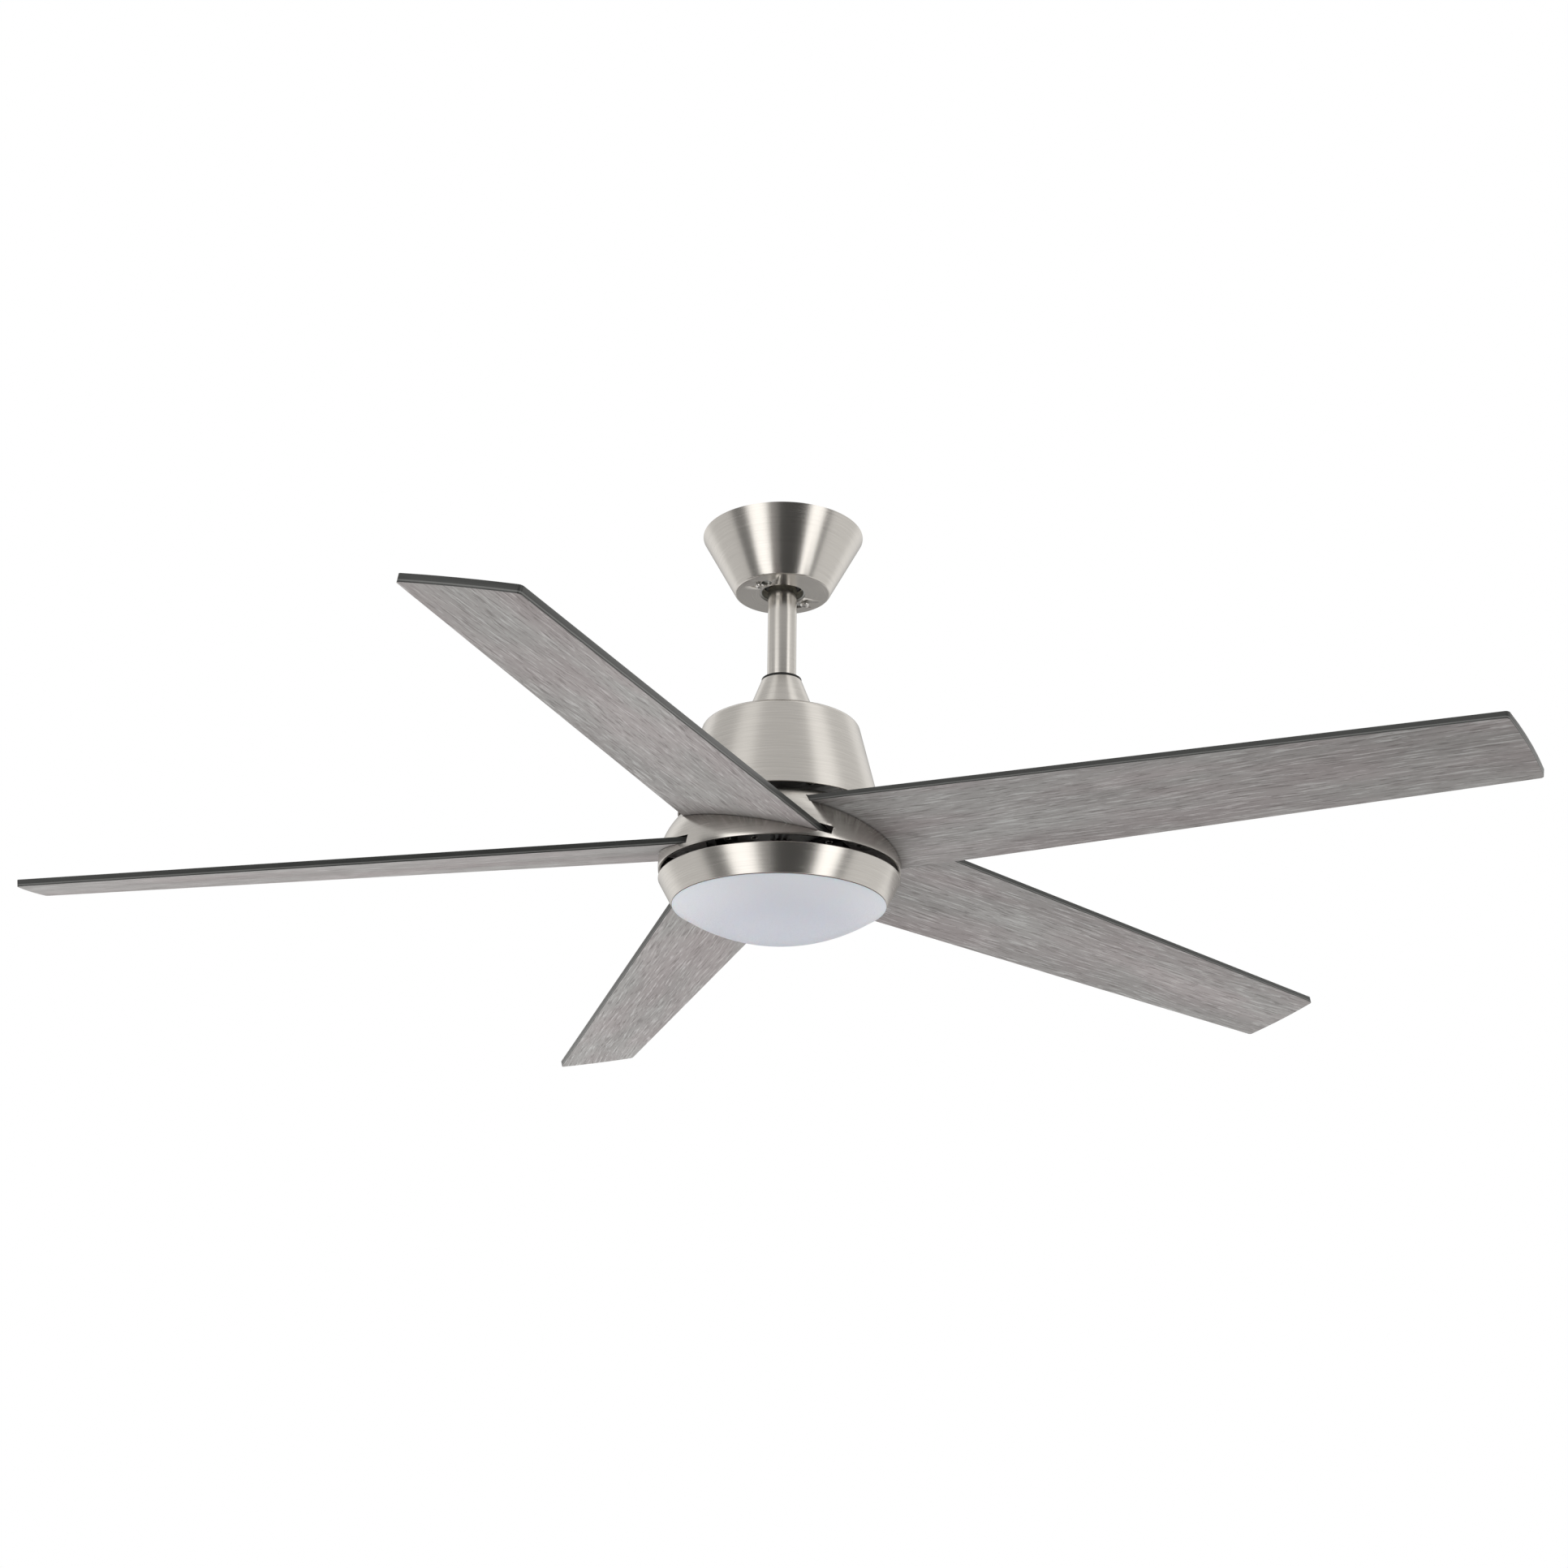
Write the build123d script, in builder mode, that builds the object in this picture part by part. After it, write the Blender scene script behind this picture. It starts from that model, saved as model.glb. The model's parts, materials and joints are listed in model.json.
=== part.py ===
from build123d import *
from math import cos, radians, sin, sqrt, tan
import os

# A 52 inch five-blade ceiling fan with a light. The origin is the centre of the hanger
# bracket's top face, on the ceiling plane, and the whole fan hangs below it along -Z.

os.makedirs("parts", exist_ok=True)

# ---------------------------------------------------------------- driving dimensions, mm
blade_count = 5
tip_radius = 660.4  # half of the 52 inch sweep
first_blade_azimuth = -108.5  # degrees, centre line of blade 1
blade_pitch = 12.5  # degrees, the counter-clockwise edge is the low one
blade_droop = 4.2  # degrees below level, towards the tip
blade_thickness = 6.0
blade_root = 64.0  # distance of the straight inner end from the fan's axis
blade_lead_root = 66.1  # half widths each side of the centre line
blade_lead_tip = 57.2
blade_trail_root = 64.6
blade_trail_tip = 28.6
tip_bulge = 3.0
tip_corner = 3.0
blade_height = 26.0  # underside plane above the hub's lower rim, at the axis

canopy_top_radius = 75.0
canopy_bottom_radius = 44.0
canopy_height = 58.0
canopy_wall = 1.2
canopy_edge = 2.5
canopy_hole = 21.3
ceiling_gap = 0.5
canopy_screw_radius = 28.5
canopy_screw_azimuth = 43.5
canopy_twist = 16.0

plate_length = 110.0
plate_width = 76.0
plate_corner = 10.0
bracket_gauge = 2.5
outlet_spacing = 88.9
outlet_slot_radius = 2.6
outlet_slot_length = 9.0
wire_hole_radius = 9.0
wire_hole_y = -17.0
arm_width = 28.0

ball_radius = 25.0
ball_centre_z = -32.0
ball_top = 8.0  # above the ball's centre
ball_bottom = 20.0  # below the ball's centre
liner_wall = 1.5
cradle_bore = 19.5
liner_bore = 17.5

rod_radius = 13.35
rod_wall = 2.3
rod_length = 170.0
rod_above_ball = 16.0
cross_pin_radius = 3.0

cover_top_radius = 18.6
cover_base_radius = 36.0
cover_height = 45.5
cover_wall = 1.2
ring_height = 2.4
ring_inset = 0.2

yoke_wall = 3.6
yoke_socket_depth = 33.0
yoke_floor = 6.5
yoke_flange_radius = 30.0
yoke_flange = 6.0
housing_screw_circle = 25.0

housing_top_radius = 71.0
housing_bottom_radius = 92.0
housing_height = 86.0
housing_wall = 1.5
housing_edge = 6.0

shaft_radius = 8.5
shaft_bore = 5.5
wire_radius = 1.3
bearing_radius = 20.0
bearing_width = 12.0
race_thickness = 3.5
rotor_radius = 62.5
rotor_wall = 2.5
rotor_top_gap = 20.0  # from the housing's inner top to the rotor's end plate
rotor_bottom_gap = 16.5  # from the rotor's lower cover to the housing's open rim
cover_plate = 4.0
boss_radius = 35.0
magnet_thickness = 2.8
air_gap = 1.2
stack_height = 20.0
tooth_count = 12
tooth_width = 7.0
coil_thickness = 3.2
magnet_count = 14

hub_gap = 4.2  # between the still housing and the turning hub
hub_height = 49.5
hub_top_radius = 88.0
hub_mid_radius = 103.0
hub_rim_radius = 107.8
hub_wall = 2.0
hub_plate = 2.0
slot_room = 0.5
slot_overrun = 9.0
flywheel_radius = 58.0
flywheel_thickness = 7.0
flywheel_bore = 12.0

carrier_gauge = 3.0
carrier_width = 36.0
foot_inner = 38.0
web_outer = 60.0
pad_outer = 88.0
pad_width = 56.0

light_gap = 6.1
band_top_radius = 108.2
band_bottom_radius = 95.3
band_height = 24.0
band_wall = 1.5
pan_top = 2.0
pan_bore = 20.0
pan_lip = 1.5
adapter_radius = 60.0
adapter_thickness = 4.0
pan_screw_circle = 50.0
driver_length = 34.0
driver_width = 40.0
driver_height = 22.0
led_board_radius = 80.0
led_board_thickness = 1.6
diffuser_sag = 30.0
diffuser_wall = 2.0
diffuser_collar = 91.0
diffuser_tab = 2.5
diffuser_twist = 20.0
rim_gap = 0.3

# ---------------------------------------------------------------- clearances
fit_gap = 0.05  # a pin, rod or race in its own hole
screw_gap = 0.1
running_gap = 0.3  # between curved faces that move on each other
turn_gap = 0.4  # round the diffuser's collar

# ---------------------------------------------------------------- heights that follow
canopy_bottom_z = -canopy_height
cradle_plate_z = canopy_bottom_z + canopy_wall + running_gap
rod_top_z = ball_centre_z + rod_above_ball
rod_bottom_z = rod_top_z - rod_length
housing_top_z = rod_bottom_z - yoke_floor
cover_top_z = housing_top_z + cover_height
clevis_z = rod_bottom_z + yoke_socket_depth * 0.42
set_screw_z = rod_bottom_z + yoke_socket_depth * 0.74
yoke_flange_z = housing_top_z - housing_wall
shaft_top_z = yoke_flange_z + yoke_floor - housing_wall
housing_bottom_z = housing_top_z - housing_height
rotor_top_z = housing_top_z - housing_wall - rotor_top_gap
rotor_bottom_z = housing_bottom_z + rotor_bottom_gap
stack_z = (rotor_top_z + rotor_bottom_z + cover_plate) / 2
hub_top_z = housing_bottom_z - hub_gap
hub_bottom_z = hub_top_z - hub_height
flywheel_top_z = hub_top_z - hub_plate
foot_top_z = flywheel_top_z - flywheel_thickness
blade_z = hub_bottom_z + blade_height
band_top_z = hub_bottom_z - light_gap
band_bottom_z = band_top_z - band_height
adapter_top_z = band_top_z + adapter_thickness
board_z = band_top_z - pan_top
rim_z = band_bottom_z - rim_gap
upper_bearing_z = rotor_top_z + 4.0
lower_bearing_z = hub_top_z + bearing_width
cover_radius = cover_base_radius - cover_top_radius
blade_azimuths = [first_blade_azimuth - 360 / blade_count * i for i in range(blade_count)]


def finish(piece, name):
    """Label a finished piece and write it as one STEP file."""
    piece.part.label = name
    export_step(piece.part, f"parts/{name}.step")


def along(start, end, share):
    """The value at a share of the way from start to end."""
    return start + (end - start) * share


def turned(*points, mode=Mode.ADD):
    """Turn a closed outline of (radius, height) points about the fan's axis."""
    with BuildSketch(Plane.XZ) as outline:
        with BuildLine():
            Polyline(*points, close=True)
        make_face()
    revolve(outline.sketch, axis=Axis.Z, mode=mode)


def disc(radius, bore, top_z, bottom_z, mode=Mode.ADD):
    """A flat ring between two heights."""
    turned((bore, top_z), (radius, top_z), (radius, bottom_z), (bore, bottom_z), mode=mode)


def level_plane(azimuth, height):
    """A level plane with its x axis along one blade's centre line."""
    return Plane(
        origin=(0, 0, height),
        x_dir=(cos(radians(azimuth)), sin(radians(azimuth)), 0),
        z_dir=(0, 0, 1),
    )


def blade_plane(azimuth):
    """The underside plane of one blade: drooped outwards, then pitched about its length."""
    along_blade = Vector(cos(radians(azimuth)), sin(radians(azimuth)), 0)
    across_blade = Vector(-along_blade.Y, along_blade.X, 0)
    droop, pitch = radians(blade_droop), radians(blade_pitch)
    x_dir = along_blade * cos(droop) - Vector(0, 0, sin(droop))
    edge = across_blade * cos(pitch) - Vector(0, 0, sin(pitch))
    return Plane(origin=(0, 0, blade_z), x_dir=x_dir, z_dir=x_dir.cross(edge))


def pan_screw(shank_radius, length, head_radius, head_height):
    """A cross-recessed pan-head screw: shank up from z = 0, domed head below it."""
    with BuildPart() as screw:
        Cylinder(shank_radius, length, align=(Align.CENTER, Align.CENTER, Align.MIN))
        Cylinder(head_radius, head_height, align=(Align.CENTER, Align.CENTER, Align.MAX))
        fillet(screw.edges().group_by(Axis.Z)[0], head_height * 0.45)
        with BuildSketch(Plane.XY.offset(-head_height)):
            Rectangle(head_radius * 1.1, head_radius * 0.24)
            Rectangle(head_radius * 0.24, head_radius * 1.1)
        extrude(amount=head_height * 0.55, mode=Mode.SUBTRACT)
    return screw.part


def grub_screw(radius, length):
    """A headless set screw along z with a hexagonal socket in its outer end."""
    with BuildPart() as screw:
        Cylinder(radius, length, align=(Align.CENTER, Align.CENTER, Align.MIN))
        with BuildSketch(Plane.XY.offset(length)):
            RegularPolygon(radius * 0.55, 6)
        extrude(amount=-radius, mode=Mode.SUBTRACT)
    return screw.part


# ================================================================ ceiling mount
screw_radius = 2.0
screw_head_radius = 4.0
screw_head_height = 2.2
small_screw_hole = screw_radius + screw_gap
canopy_screw_length = 8.0
canopy_screw_head = 4.2
small_screw = pan_screw(screw_radius, canopy_screw_length, canopy_screw_head, 2.4)

# The hanger bracket: a slotted top plate, two arms, and the spherical cradle of the ball.
cradle_inner = ball_radius + running_gap + liner_wall + running_gap
cradle_outer = cradle_inner + bracket_gauge
cradle_top_z = ball_centre_z - 2.0
arm_outer = cradle_outer + 9.0
cradle_neck = cradle_bore / 2
ground_screw_y = arm_width / 2 - 4.0
with BuildPart() as hanger_bracket:
    with BuildSketch(Plane.XY):
        RectangleRounded(plate_length, plate_width, plate_corner)
        with GridLocations(outlet_spacing, 0, 2, 1):
            SlotOverall(outlet_slot_length, outlet_slot_radius * 2, mode=Mode.SUBTRACT)
        with Locations((0, wire_hole_y)):
            Circle(wire_hole_radius, mode=Mode.SUBTRACT)
        with Locations((0, ground_screw_y)):
            Circle(small_screw_hole, mode=Mode.SUBTRACT)
    extrude(amount=-bracket_gauge)
    with BuildSketch(Plane.XY.offset(cradle_top_z)):
        with GridLocations(2 * arm_outer - bracket_gauge, 0, 2, 1):
            Rectangle(bracket_gauge, arm_width)
    extrude(amount=-cradle_top_z - bracket_gauge / 2)
    with BuildSketch(Plane.XZ):
        with Locations((0, ball_centre_z)):
            Circle(cradle_outer)
        with Locations((0, cradle_top_z)):
            Rectangle(4 * arm_outer, 4 * arm_outer, align=(Align.CENTER, Align.MIN), mode=Mode.SUBTRACT)
            Rectangle(2 * arm_outer, bracket_gauge, align=(Align.CENTER, Align.MAX))
        with Locations((0, cradle_plate_z)):
            Rectangle(2 * cradle_bore + 9.0, cradle_neck, align=(Align.CENTER, Align.MIN))
            Rectangle(2 * canopy_screw_radius + 12.0, bracket_gauge, align=(Align.CENTER, Align.MIN))
        with Locations((0, ball_centre_z)):
            Circle(cradle_inner, mode=Mode.SUBTRACT)
            Rectangle(2 * cradle_bore, 4 * cradle_outer, mode=Mode.SUBTRACT)
            Rectangle(4 * arm_outer, 4 * arm_outer, align=(Align.MAX, Align.CENTER), mode=Mode.SUBTRACT)
    revolve(axis=Axis.Z)
    with BuildSketch(Plane.XY.offset(cradle_plate_z)):
        with PolarLocations(canopy_screw_radius, 2, start_angle=canopy_screw_azimuth):
            Circle(small_screw_hole)
    extrude(amount=bracket_gauge, mode=Mode.SUBTRACT)
finish(hanger_bracket, "hanger_bracket")

with BuildPart() as canopy_screws:
    with Locations((0, 0, canopy_bottom_z - running_gap)):
        with PolarLocations(canopy_screw_radius, 2, start_angle=canopy_screw_azimuth):
            add(small_screw)
finish(canopy_screws, "canopy_screws")

# The remote control's receiver, under the plate beside the ball.
receiver_length, receiver_width, receiver_height = 56.0, 20.0, 19.0
with BuildPart() as receiver_box:
    with Locations((0, ball_radius + 2.0 + receiver_width / 2, -bracket_gauge)):
        Box(receiver_length, receiver_width, receiver_height, align=(Align.CENTER, Align.CENTER, Align.MAX))
    fillet(receiver_box.edges().filter_by(Axis.Z), 2.0)
    fillet(receiver_box.faces().sort_by(Axis.Z)[0].edges(), 1.0)
finish(receiver_box, "receiver_box")

# Three wire connectors, cone shaped, that join the house wires to the fan's leads.
with BuildPart() as wire_connectors:
    with Locations(*[(x, -30.0, -bracket_gauge) for x in (-26.0, 26.0)], (0, -33.0, -bracket_gauge)):
        Cone(3.0, 4.6, 17.0, align=(Align.CENTER, Align.CENTER, Align.MAX))
finish(wire_connectors, "wire_connectors")

with BuildPart() as ground_screw:
    with Locations((0, ground_screw_y, -bracket_gauge)):
        add(pan_screw(screw_radius, bracket_gauge, 3.6, 2.0))
finish(ground_screw, "ground_screw")

# ================================================================ canopy
canopy_slope = (canopy_top_radius - canopy_bottom_radius) / canopy_height
canopy_step = canopy_wall * sqrt(1 + canopy_slope**2)
keyhole_room = 0.6
slot_side_room = 0.2
with BuildPart() as canopy:
    turned(
        (0, -ceiling_gap),
        (canopy_top_radius, -ceiling_gap),
        (canopy_bottom_radius, canopy_bottom_z),
        (0, canopy_bottom_z),
    )
    fillet(canopy.edges().sort_by(Axis.Z)[0], canopy_edge)
    turned(
        (0, -ceiling_gap),
        (canopy_top_radius - canopy_step, -ceiling_gap),
        (canopy_bottom_radius - canopy_step + canopy_slope * canopy_wall, canopy_bottom_z + canopy_wall),
        (0, canopy_bottom_z + canopy_wall),
        mode=Mode.SUBTRACT,
    )
    with BuildSketch(Plane.XY.offset(canopy_bottom_z)):
        Circle(canopy_hole)
        with PolarLocations(0, 2, start_angle=canopy_screw_azimuth):
            SlotArc(
                CenterArc((0, 0), canopy_screw_radius, 0, canopy_twist, mode=Mode.PRIVATE),
                2 * (small_screw_hole + slot_side_room),
            )
        with PolarLocations(canopy_screw_radius, 2, start_angle=canopy_screw_azimuth + canopy_twist):
            Circle(canopy_screw_head + keyhole_room)
    extrude(amount=canopy_wall, mode=Mode.SUBTRACT)
finish(canopy, "canopy")

# ================================================================ ball joint
liner_outer = cradle_inner - running_gap
with BuildPart() as ball_liner:
    with BuildSketch(Plane.XZ):
        with Locations((0, ball_centre_z)):
            Circle(liner_outer)
            Circle(ball_radius + running_gap, mode=Mode.SUBTRACT)
            Rectangle(2 * liner_bore, 4 * liner_outer, mode=Mode.SUBTRACT)
            Rectangle(4 * liner_outer, 4 * liner_outer, align=(Align.MAX, Align.CENTER), mode=Mode.SUBTRACT)
        with Locations((0, cradle_top_z - 0.5)):
            Rectangle(4 * liner_outer, 4 * liner_outer, align=(Align.CENTER, Align.MIN), mode=Mode.SUBTRACT)
    revolve(axis=Axis.Z)
finish(ball_liner, "ball_liner")

ball_pin_z = ball_centre_z + 4.0
ball_screw_z = ball_centre_z - 9.0
grub_radius = 2.5
grub_hole = grub_radius + screw_gap
ball_screw_end = sqrt(ball_radius**2 - (ball_centre_z - ball_screw_z) ** 2) - 3.0
rod_fit = rod_radius + fit_gap
with BuildPart() as hanger_ball:
    with BuildSketch(Plane.XZ):
        with Locations((0, ball_centre_z)):
            Circle(ball_radius)
        with Locations((0, ball_centre_z + ball_top)):
            Rectangle(4 * ball_radius, ball_radius, align=(Align.CENTER, Align.MIN), mode=Mode.SUBTRACT)
        with Locations((0, ball_centre_z - ball_bottom)):
            Rectangle(4 * ball_radius, ball_radius, align=(Align.CENTER, Align.MAX), mode=Mode.SUBTRACT)
        with Locations((rod_fit, ball_centre_z)):
            Rectangle(4 * ball_radius, 4 * ball_radius, align=(Align.MAX, Align.CENTER), mode=Mode.SUBTRACT)
    revolve(axis=Axis.Z)
    with BuildSketch(Plane.YZ.offset(-ball_radius)):
        with Locations((0, ball_pin_z)):
            Circle(cross_pin_radius + screw_gap)
    extrude(amount=2 * ball_radius, mode=Mode.SUBTRACT)
    with BuildSketch(Plane.XZ):
        with Locations((0, ball_screw_z)):
            Circle(grub_hole)
    extrude(amount=ball_radius, mode=Mode.SUBTRACT)
finish(hanger_ball, "hanger_ball")

with BuildPart() as ball_pin:
    with Locations(Location((0, 0, ball_pin_z), (0, 90, 0))):
        Cylinder(cross_pin_radius, 2 * (ball_radius - 6.0))
    chamfer(ball_pin.edges().filter_by(GeomType.CIRCLE), 0.5)
finish(ball_pin, "ball_pin")

with BuildPart() as ball_set_screw:
    with Locations(Location((0, -rod_radius, ball_screw_z), (90, 0, 0))):
        add(grub_screw(grub_radius, ball_screw_end - rod_radius))
finish(ball_set_screw, "ball_set_screw")

# ================================================================ downrod and yoke
with BuildPart() as downrod:
    disc(rod_radius, rod_radius - rod_wall, rod_top_z, rod_bottom_z)
    with BuildSketch(Plane.YZ.offset(-rod_radius)):
        with Locations((0, ball_pin_z)):
            Circle(cross_pin_radius + screw_gap)
    extrude(amount=2 * rod_radius, mode=Mode.SUBTRACT)
    with BuildSketch(Plane.XZ.offset(-rod_radius)):
        with Locations((0, clevis_z)):
            Circle(cross_pin_radius + screw_gap)
    extrude(amount=2 * rod_radius, mode=Mode.SUBTRACT)
finish(downrod, "downrod")

# Motor and light leads, down the rod and the hollow shaft to the light.
wire_circle = 2.8  # in the shaft's bore
wire_rod_circle = 7.5  # in the rod, clear of both cross pins
wire_bend = 6.0
wire_top_z = rod_top_z + 5.0
wire_bottom_z = board_z - 1.0
wire_jog_z = clevis_z - cross_pin_radius - 2.0
with BuildPart() as lead_wires:
    for quarter in (0, 1, 2):
        wire_plane = Plane.XZ.rotated((0, 0, 45 + 90 * quarter))
        with BuildLine(wire_plane) as wire_path:
            FilletPolyline(
                (wire_rod_circle, wire_top_z),
                (wire_rod_circle, wire_jog_z),
                (wire_circle, shaft_top_z),
                (wire_circle, wire_bottom_z),
                radius=wire_bend,
            )
        with BuildSketch(Plane(origin=wire_path.line @ 0, z_dir=wire_path.line % 0)):
            Circle(wire_radius)
        sweep(path=wire_path.line)
finish(lead_wires, "lead_wires")

with BuildPart() as yoke_ring:
    disc(cover_top_radius - ring_inset, rod_fit, cover_top_z + ring_height, cover_top_z)
    fillet(yoke_ring.edges().group_by(Axis.Z)[-1].sort_by(SortBy.RADIUS)[-1], 0.6)
finish(yoke_ring, "yoke_ring")

cover_slope = cover_radius / cover_height
cover_step = cover_wall * sqrt(1 + cover_slope**2)
with BuildPart() as yoke_cover:
    turned(
        (rod_fit, cover_top_z),
        (cover_top_radius, cover_top_z),
        (cover_base_radius, housing_top_z),
        (cover_base_radius - cover_step, housing_top_z),
        (cover_top_radius - cover_step + cover_slope * cover_wall, cover_top_z - cover_wall),
        (rod_fit, cover_top_z - cover_wall),
    )
finish(yoke_cover, "yoke_cover")

yoke_radius = rod_radius + yoke_wall
with BuildPart() as motor_yoke:
    turned(
        (rod_fit, rod_bottom_z + yoke_socket_depth),
        (yoke_radius, rod_bottom_z + yoke_socket_depth),
        (yoke_radius, yoke_flange_z),
        (yoke_flange_radius, yoke_flange_z),
        (yoke_flange_radius, yoke_flange_z - yoke_flange),
        (shaft_radius + fit_gap, yoke_flange_z - yoke_flange),
        (shaft_radius + fit_gap, rod_bottom_z),
        (rod_fit, rod_bottom_z),
    )
    with BuildSketch(Plane.XZ.offset(-yoke_radius)):
        with Locations((0, clevis_z)):
            Circle(cross_pin_radius + screw_gap)
    extrude(amount=2 * yoke_radius, mode=Mode.SUBTRACT)
    with BuildSketch(Plane.YZ.offset(-yoke_radius)):
        with Locations((0, set_screw_z)):
            Circle(grub_hole)
    extrude(amount=2 * yoke_radius, mode=Mode.SUBTRACT)
    with BuildSketch(Plane.XY.offset(yoke_flange_z)):
        with PolarLocations(housing_screw_circle, 3, start_angle=90):
            Circle(small_screw_hole)
    extrude(amount=-yoke_flange, mode=Mode.SUBTRACT)
finish(motor_yoke, "motor_yoke")

clip_y = yoke_radius + 2.4
clip_wire = 0.8
pin_head = 2.0
with BuildPart() as clevis_pin:
    with Locations(Location((0, -yoke_radius, clevis_z), (-90, 0, 0))):
        Cylinder(
            cross_pin_radius,
            yoke_radius + clip_y + 2.0,
            align=(Align.CENTER, Align.CENTER, Align.MIN),
        )
        Cylinder(cross_pin_radius + 2.0, pin_head, align=(Align.CENTER, Align.CENTER, Align.MAX))
    with Locations((0, clip_y, clevis_z)):
        Cylinder(clip_wire + screw_gap, 4 * cross_pin_radius, mode=Mode.SUBTRACT)
finish(clevis_pin, "clevis_pin")

clip_reach = 2.0 + 2.6
with BuildPart() as hairpin_clip:
    with BuildLine():
        FilletPolyline(
            (0, clip_y, clevis_z - 6.0),
            (0, clip_y, clevis_z + 7.0),
            (0, clip_y + clip_reach, clevis_z + 7.0),
            (0, clip_y + clip_reach, clevis_z - 4.0),
            radius=2.0,
        )
    with BuildSketch(Plane(origin=(0, clip_y, clevis_z - 6.0), z_dir=(0, 0, 1))):
        Circle(clip_wire)
    sweep()
finish(hairpin_clip, "hairpin_clip")

with BuildPart() as yoke_set_screws:
    for side in (-1, 1):
        with Locations(Location((side * rod_radius, 0, set_screw_z), (0, side * 90, 0))):
            add(grub_screw(grub_radius, yoke_wall + 1.5))
finish(yoke_set_screws, "yoke_set_screws")

# ================================================================ motor housing
housing_slope = (housing_bottom_radius - housing_top_radius) / housing_height
housing_step = housing_wall * sqrt(1 + housing_slope**2)
with BuildPart() as motor_housing:
    turned(
        (0, housing_top_z),
        (housing_top_radius, housing_top_z),
        (housing_bottom_radius, housing_bottom_z),
        (0, housing_bottom_z),
    )
    fillet(motor_housing.edges().sort_by(Axis.Z)[-1], housing_edge)
    with BuildSketch(Plane.XZ) as hollow:
        with BuildLine():
            Polyline(
                (0, yoke_flange_z),
                (housing_top_radius - housing_step + housing_slope * housing_wall, yoke_flange_z),
                (housing_bottom_radius - housing_step, housing_bottom_z),
                (0, housing_bottom_z),
                close=True,
            )
        make_face()
        fillet(hollow.vertices().group_by(Axis.Y)[-1].sort_by(Axis.X)[-1], housing_edge - housing_wall)
    revolve(axis=Axis.Z, mode=Mode.SUBTRACT)
    with BuildSketch(Plane.XY.offset(yoke_flange_z)):
        Circle(yoke_radius + screw_gap)
        with PolarLocations(housing_screw_circle, 3, start_angle=90):
            Circle(small_screw_hole)
    extrude(amount=housing_wall, mode=Mode.SUBTRACT)
finish(motor_housing, "motor_housing")

with BuildPart() as housing_screws:
    with Locations(Location((0, 0, housing_top_z), (180, 0, 0))):
        with PolarLocations(housing_screw_circle, 3, start_angle=-90):
            add(pan_screw(screw_radius, housing_wall + yoke_flange - 1.5, screw_head_radius, screw_head_height))
finish(housing_screws, "housing_screws")

standoff_height = 6.0
control_board_z = yoke_flange_z - standoff_height
with BuildPart() as board_standoffs:
    with BuildSketch(Plane.XY.offset(yoke_flange_z)):
        with PolarLocations(50.0, 3):
            Circle(3.0)
    extrude(amount=-standoff_height)
finish(board_standoffs, "board_standoffs")

with BuildPart() as control_board:
    disc(housing_top_radius - 8.0, yoke_flange_radius + 2.0, control_board_z, control_board_z - led_board_thickness)
    with BuildSketch(Plane.XY.offset(control_board_z - led_board_thickness)):
        with PolarLocations(48.0, 4, start_angle=20):
            Rectangle(12.0, 9.0)
        with PolarLocations(48.0, 4, start_angle=65):
            Circle(5.0)
    extrude(amount=-5.0)
finish(control_board, "control_board")

# ================================================================ motor
with BuildPart() as motor_shaft:
    disc(shaft_radius, shaft_bore, shaft_top_z, board_z - 4.0)
    chamfer(motor_shaft.edges().group_by(Axis.Z)[0].sort_by(SortBy.RADIUS)[-1], 0.8)
finish(motor_shaft, "motor_shaft")

magnet_inner = rotor_radius - rotor_wall - magnet_thickness
stack_radius = magnet_inner - air_gap
core_radius = shaft_radius + 17.5
shoe_depth = 4.0
coil_inner = core_radius + 2.0
coil_outer = stack_radius - shoe_depth - 1.5
with BuildPart() as stator_core:
    with BuildSketch(Plane.XY.offset(stack_z - stack_height / 2)):
        Circle(stack_radius)
        Circle(stack_radius - shoe_depth, mode=Mode.SUBTRACT)
        with PolarLocations(stack_radius - shoe_depth / 2, tooth_count, start_angle=180 / tooth_count):
            Rectangle(2 * shoe_depth, 3.0, mode=Mode.SUBTRACT)
        Circle(core_radius)
        with PolarLocations((core_radius + stack_radius - 2.0) / 2, tooth_count):
            Rectangle(stack_radius - core_radius, tooth_width)
        Circle(shaft_radius + fit_gap, mode=Mode.SUBTRACT)
    extrude(amount=stack_height)
finish(stator_core, "stator_core")

coil_length = coil_outer - coil_inner
with BuildPart() as coil:
    Box(coil_length, tooth_width + 2 * coil_thickness, stack_height + 2 * coil_thickness + 1.0)
    fillet(coil.edges().filter_by(Axis.X), 2.5)
    Box(2 * coil_length, tooth_width + 2 * screw_gap, stack_height + 2 * screw_gap, mode=Mode.SUBTRACT)
with BuildPart() as stator_windings:
    with Locations((0, 0, stack_z)):
        with PolarLocations((coil_inner + coil_outer) / 2, tooth_count):
            add(coil.part)
finish(stator_windings, "stator_windings")

bearing_heights = (upper_bearing_z, lower_bearing_z)
race_inner = shaft_radius + fit_gap
race_middle = (race_inner + bearing_radius) / 2
bearing_ball = (bearing_radius - race_inner) / 2 - race_thickness - fit_gap
with BuildPart() as bearing_inner_races:
    for height in bearing_heights:
        disc(race_inner + race_thickness, race_inner, height, height - bearing_width)
finish(bearing_inner_races, "bearing_inner_races")

with BuildPart() as bearing_outer_races:
    for height in bearing_heights:
        disc(bearing_radius, bearing_radius - race_thickness, height, height - bearing_width)
finish(bearing_outer_races, "bearing_outer_races")

with BuildPart() as bearing_balls:
    for height in bearing_heights:
        with Locations((0, 0, height - bearing_width / 2)):
            with PolarLocations(race_middle, 9):
                Sphere(bearing_ball)
finish(bearing_balls, "bearing_balls")

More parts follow.
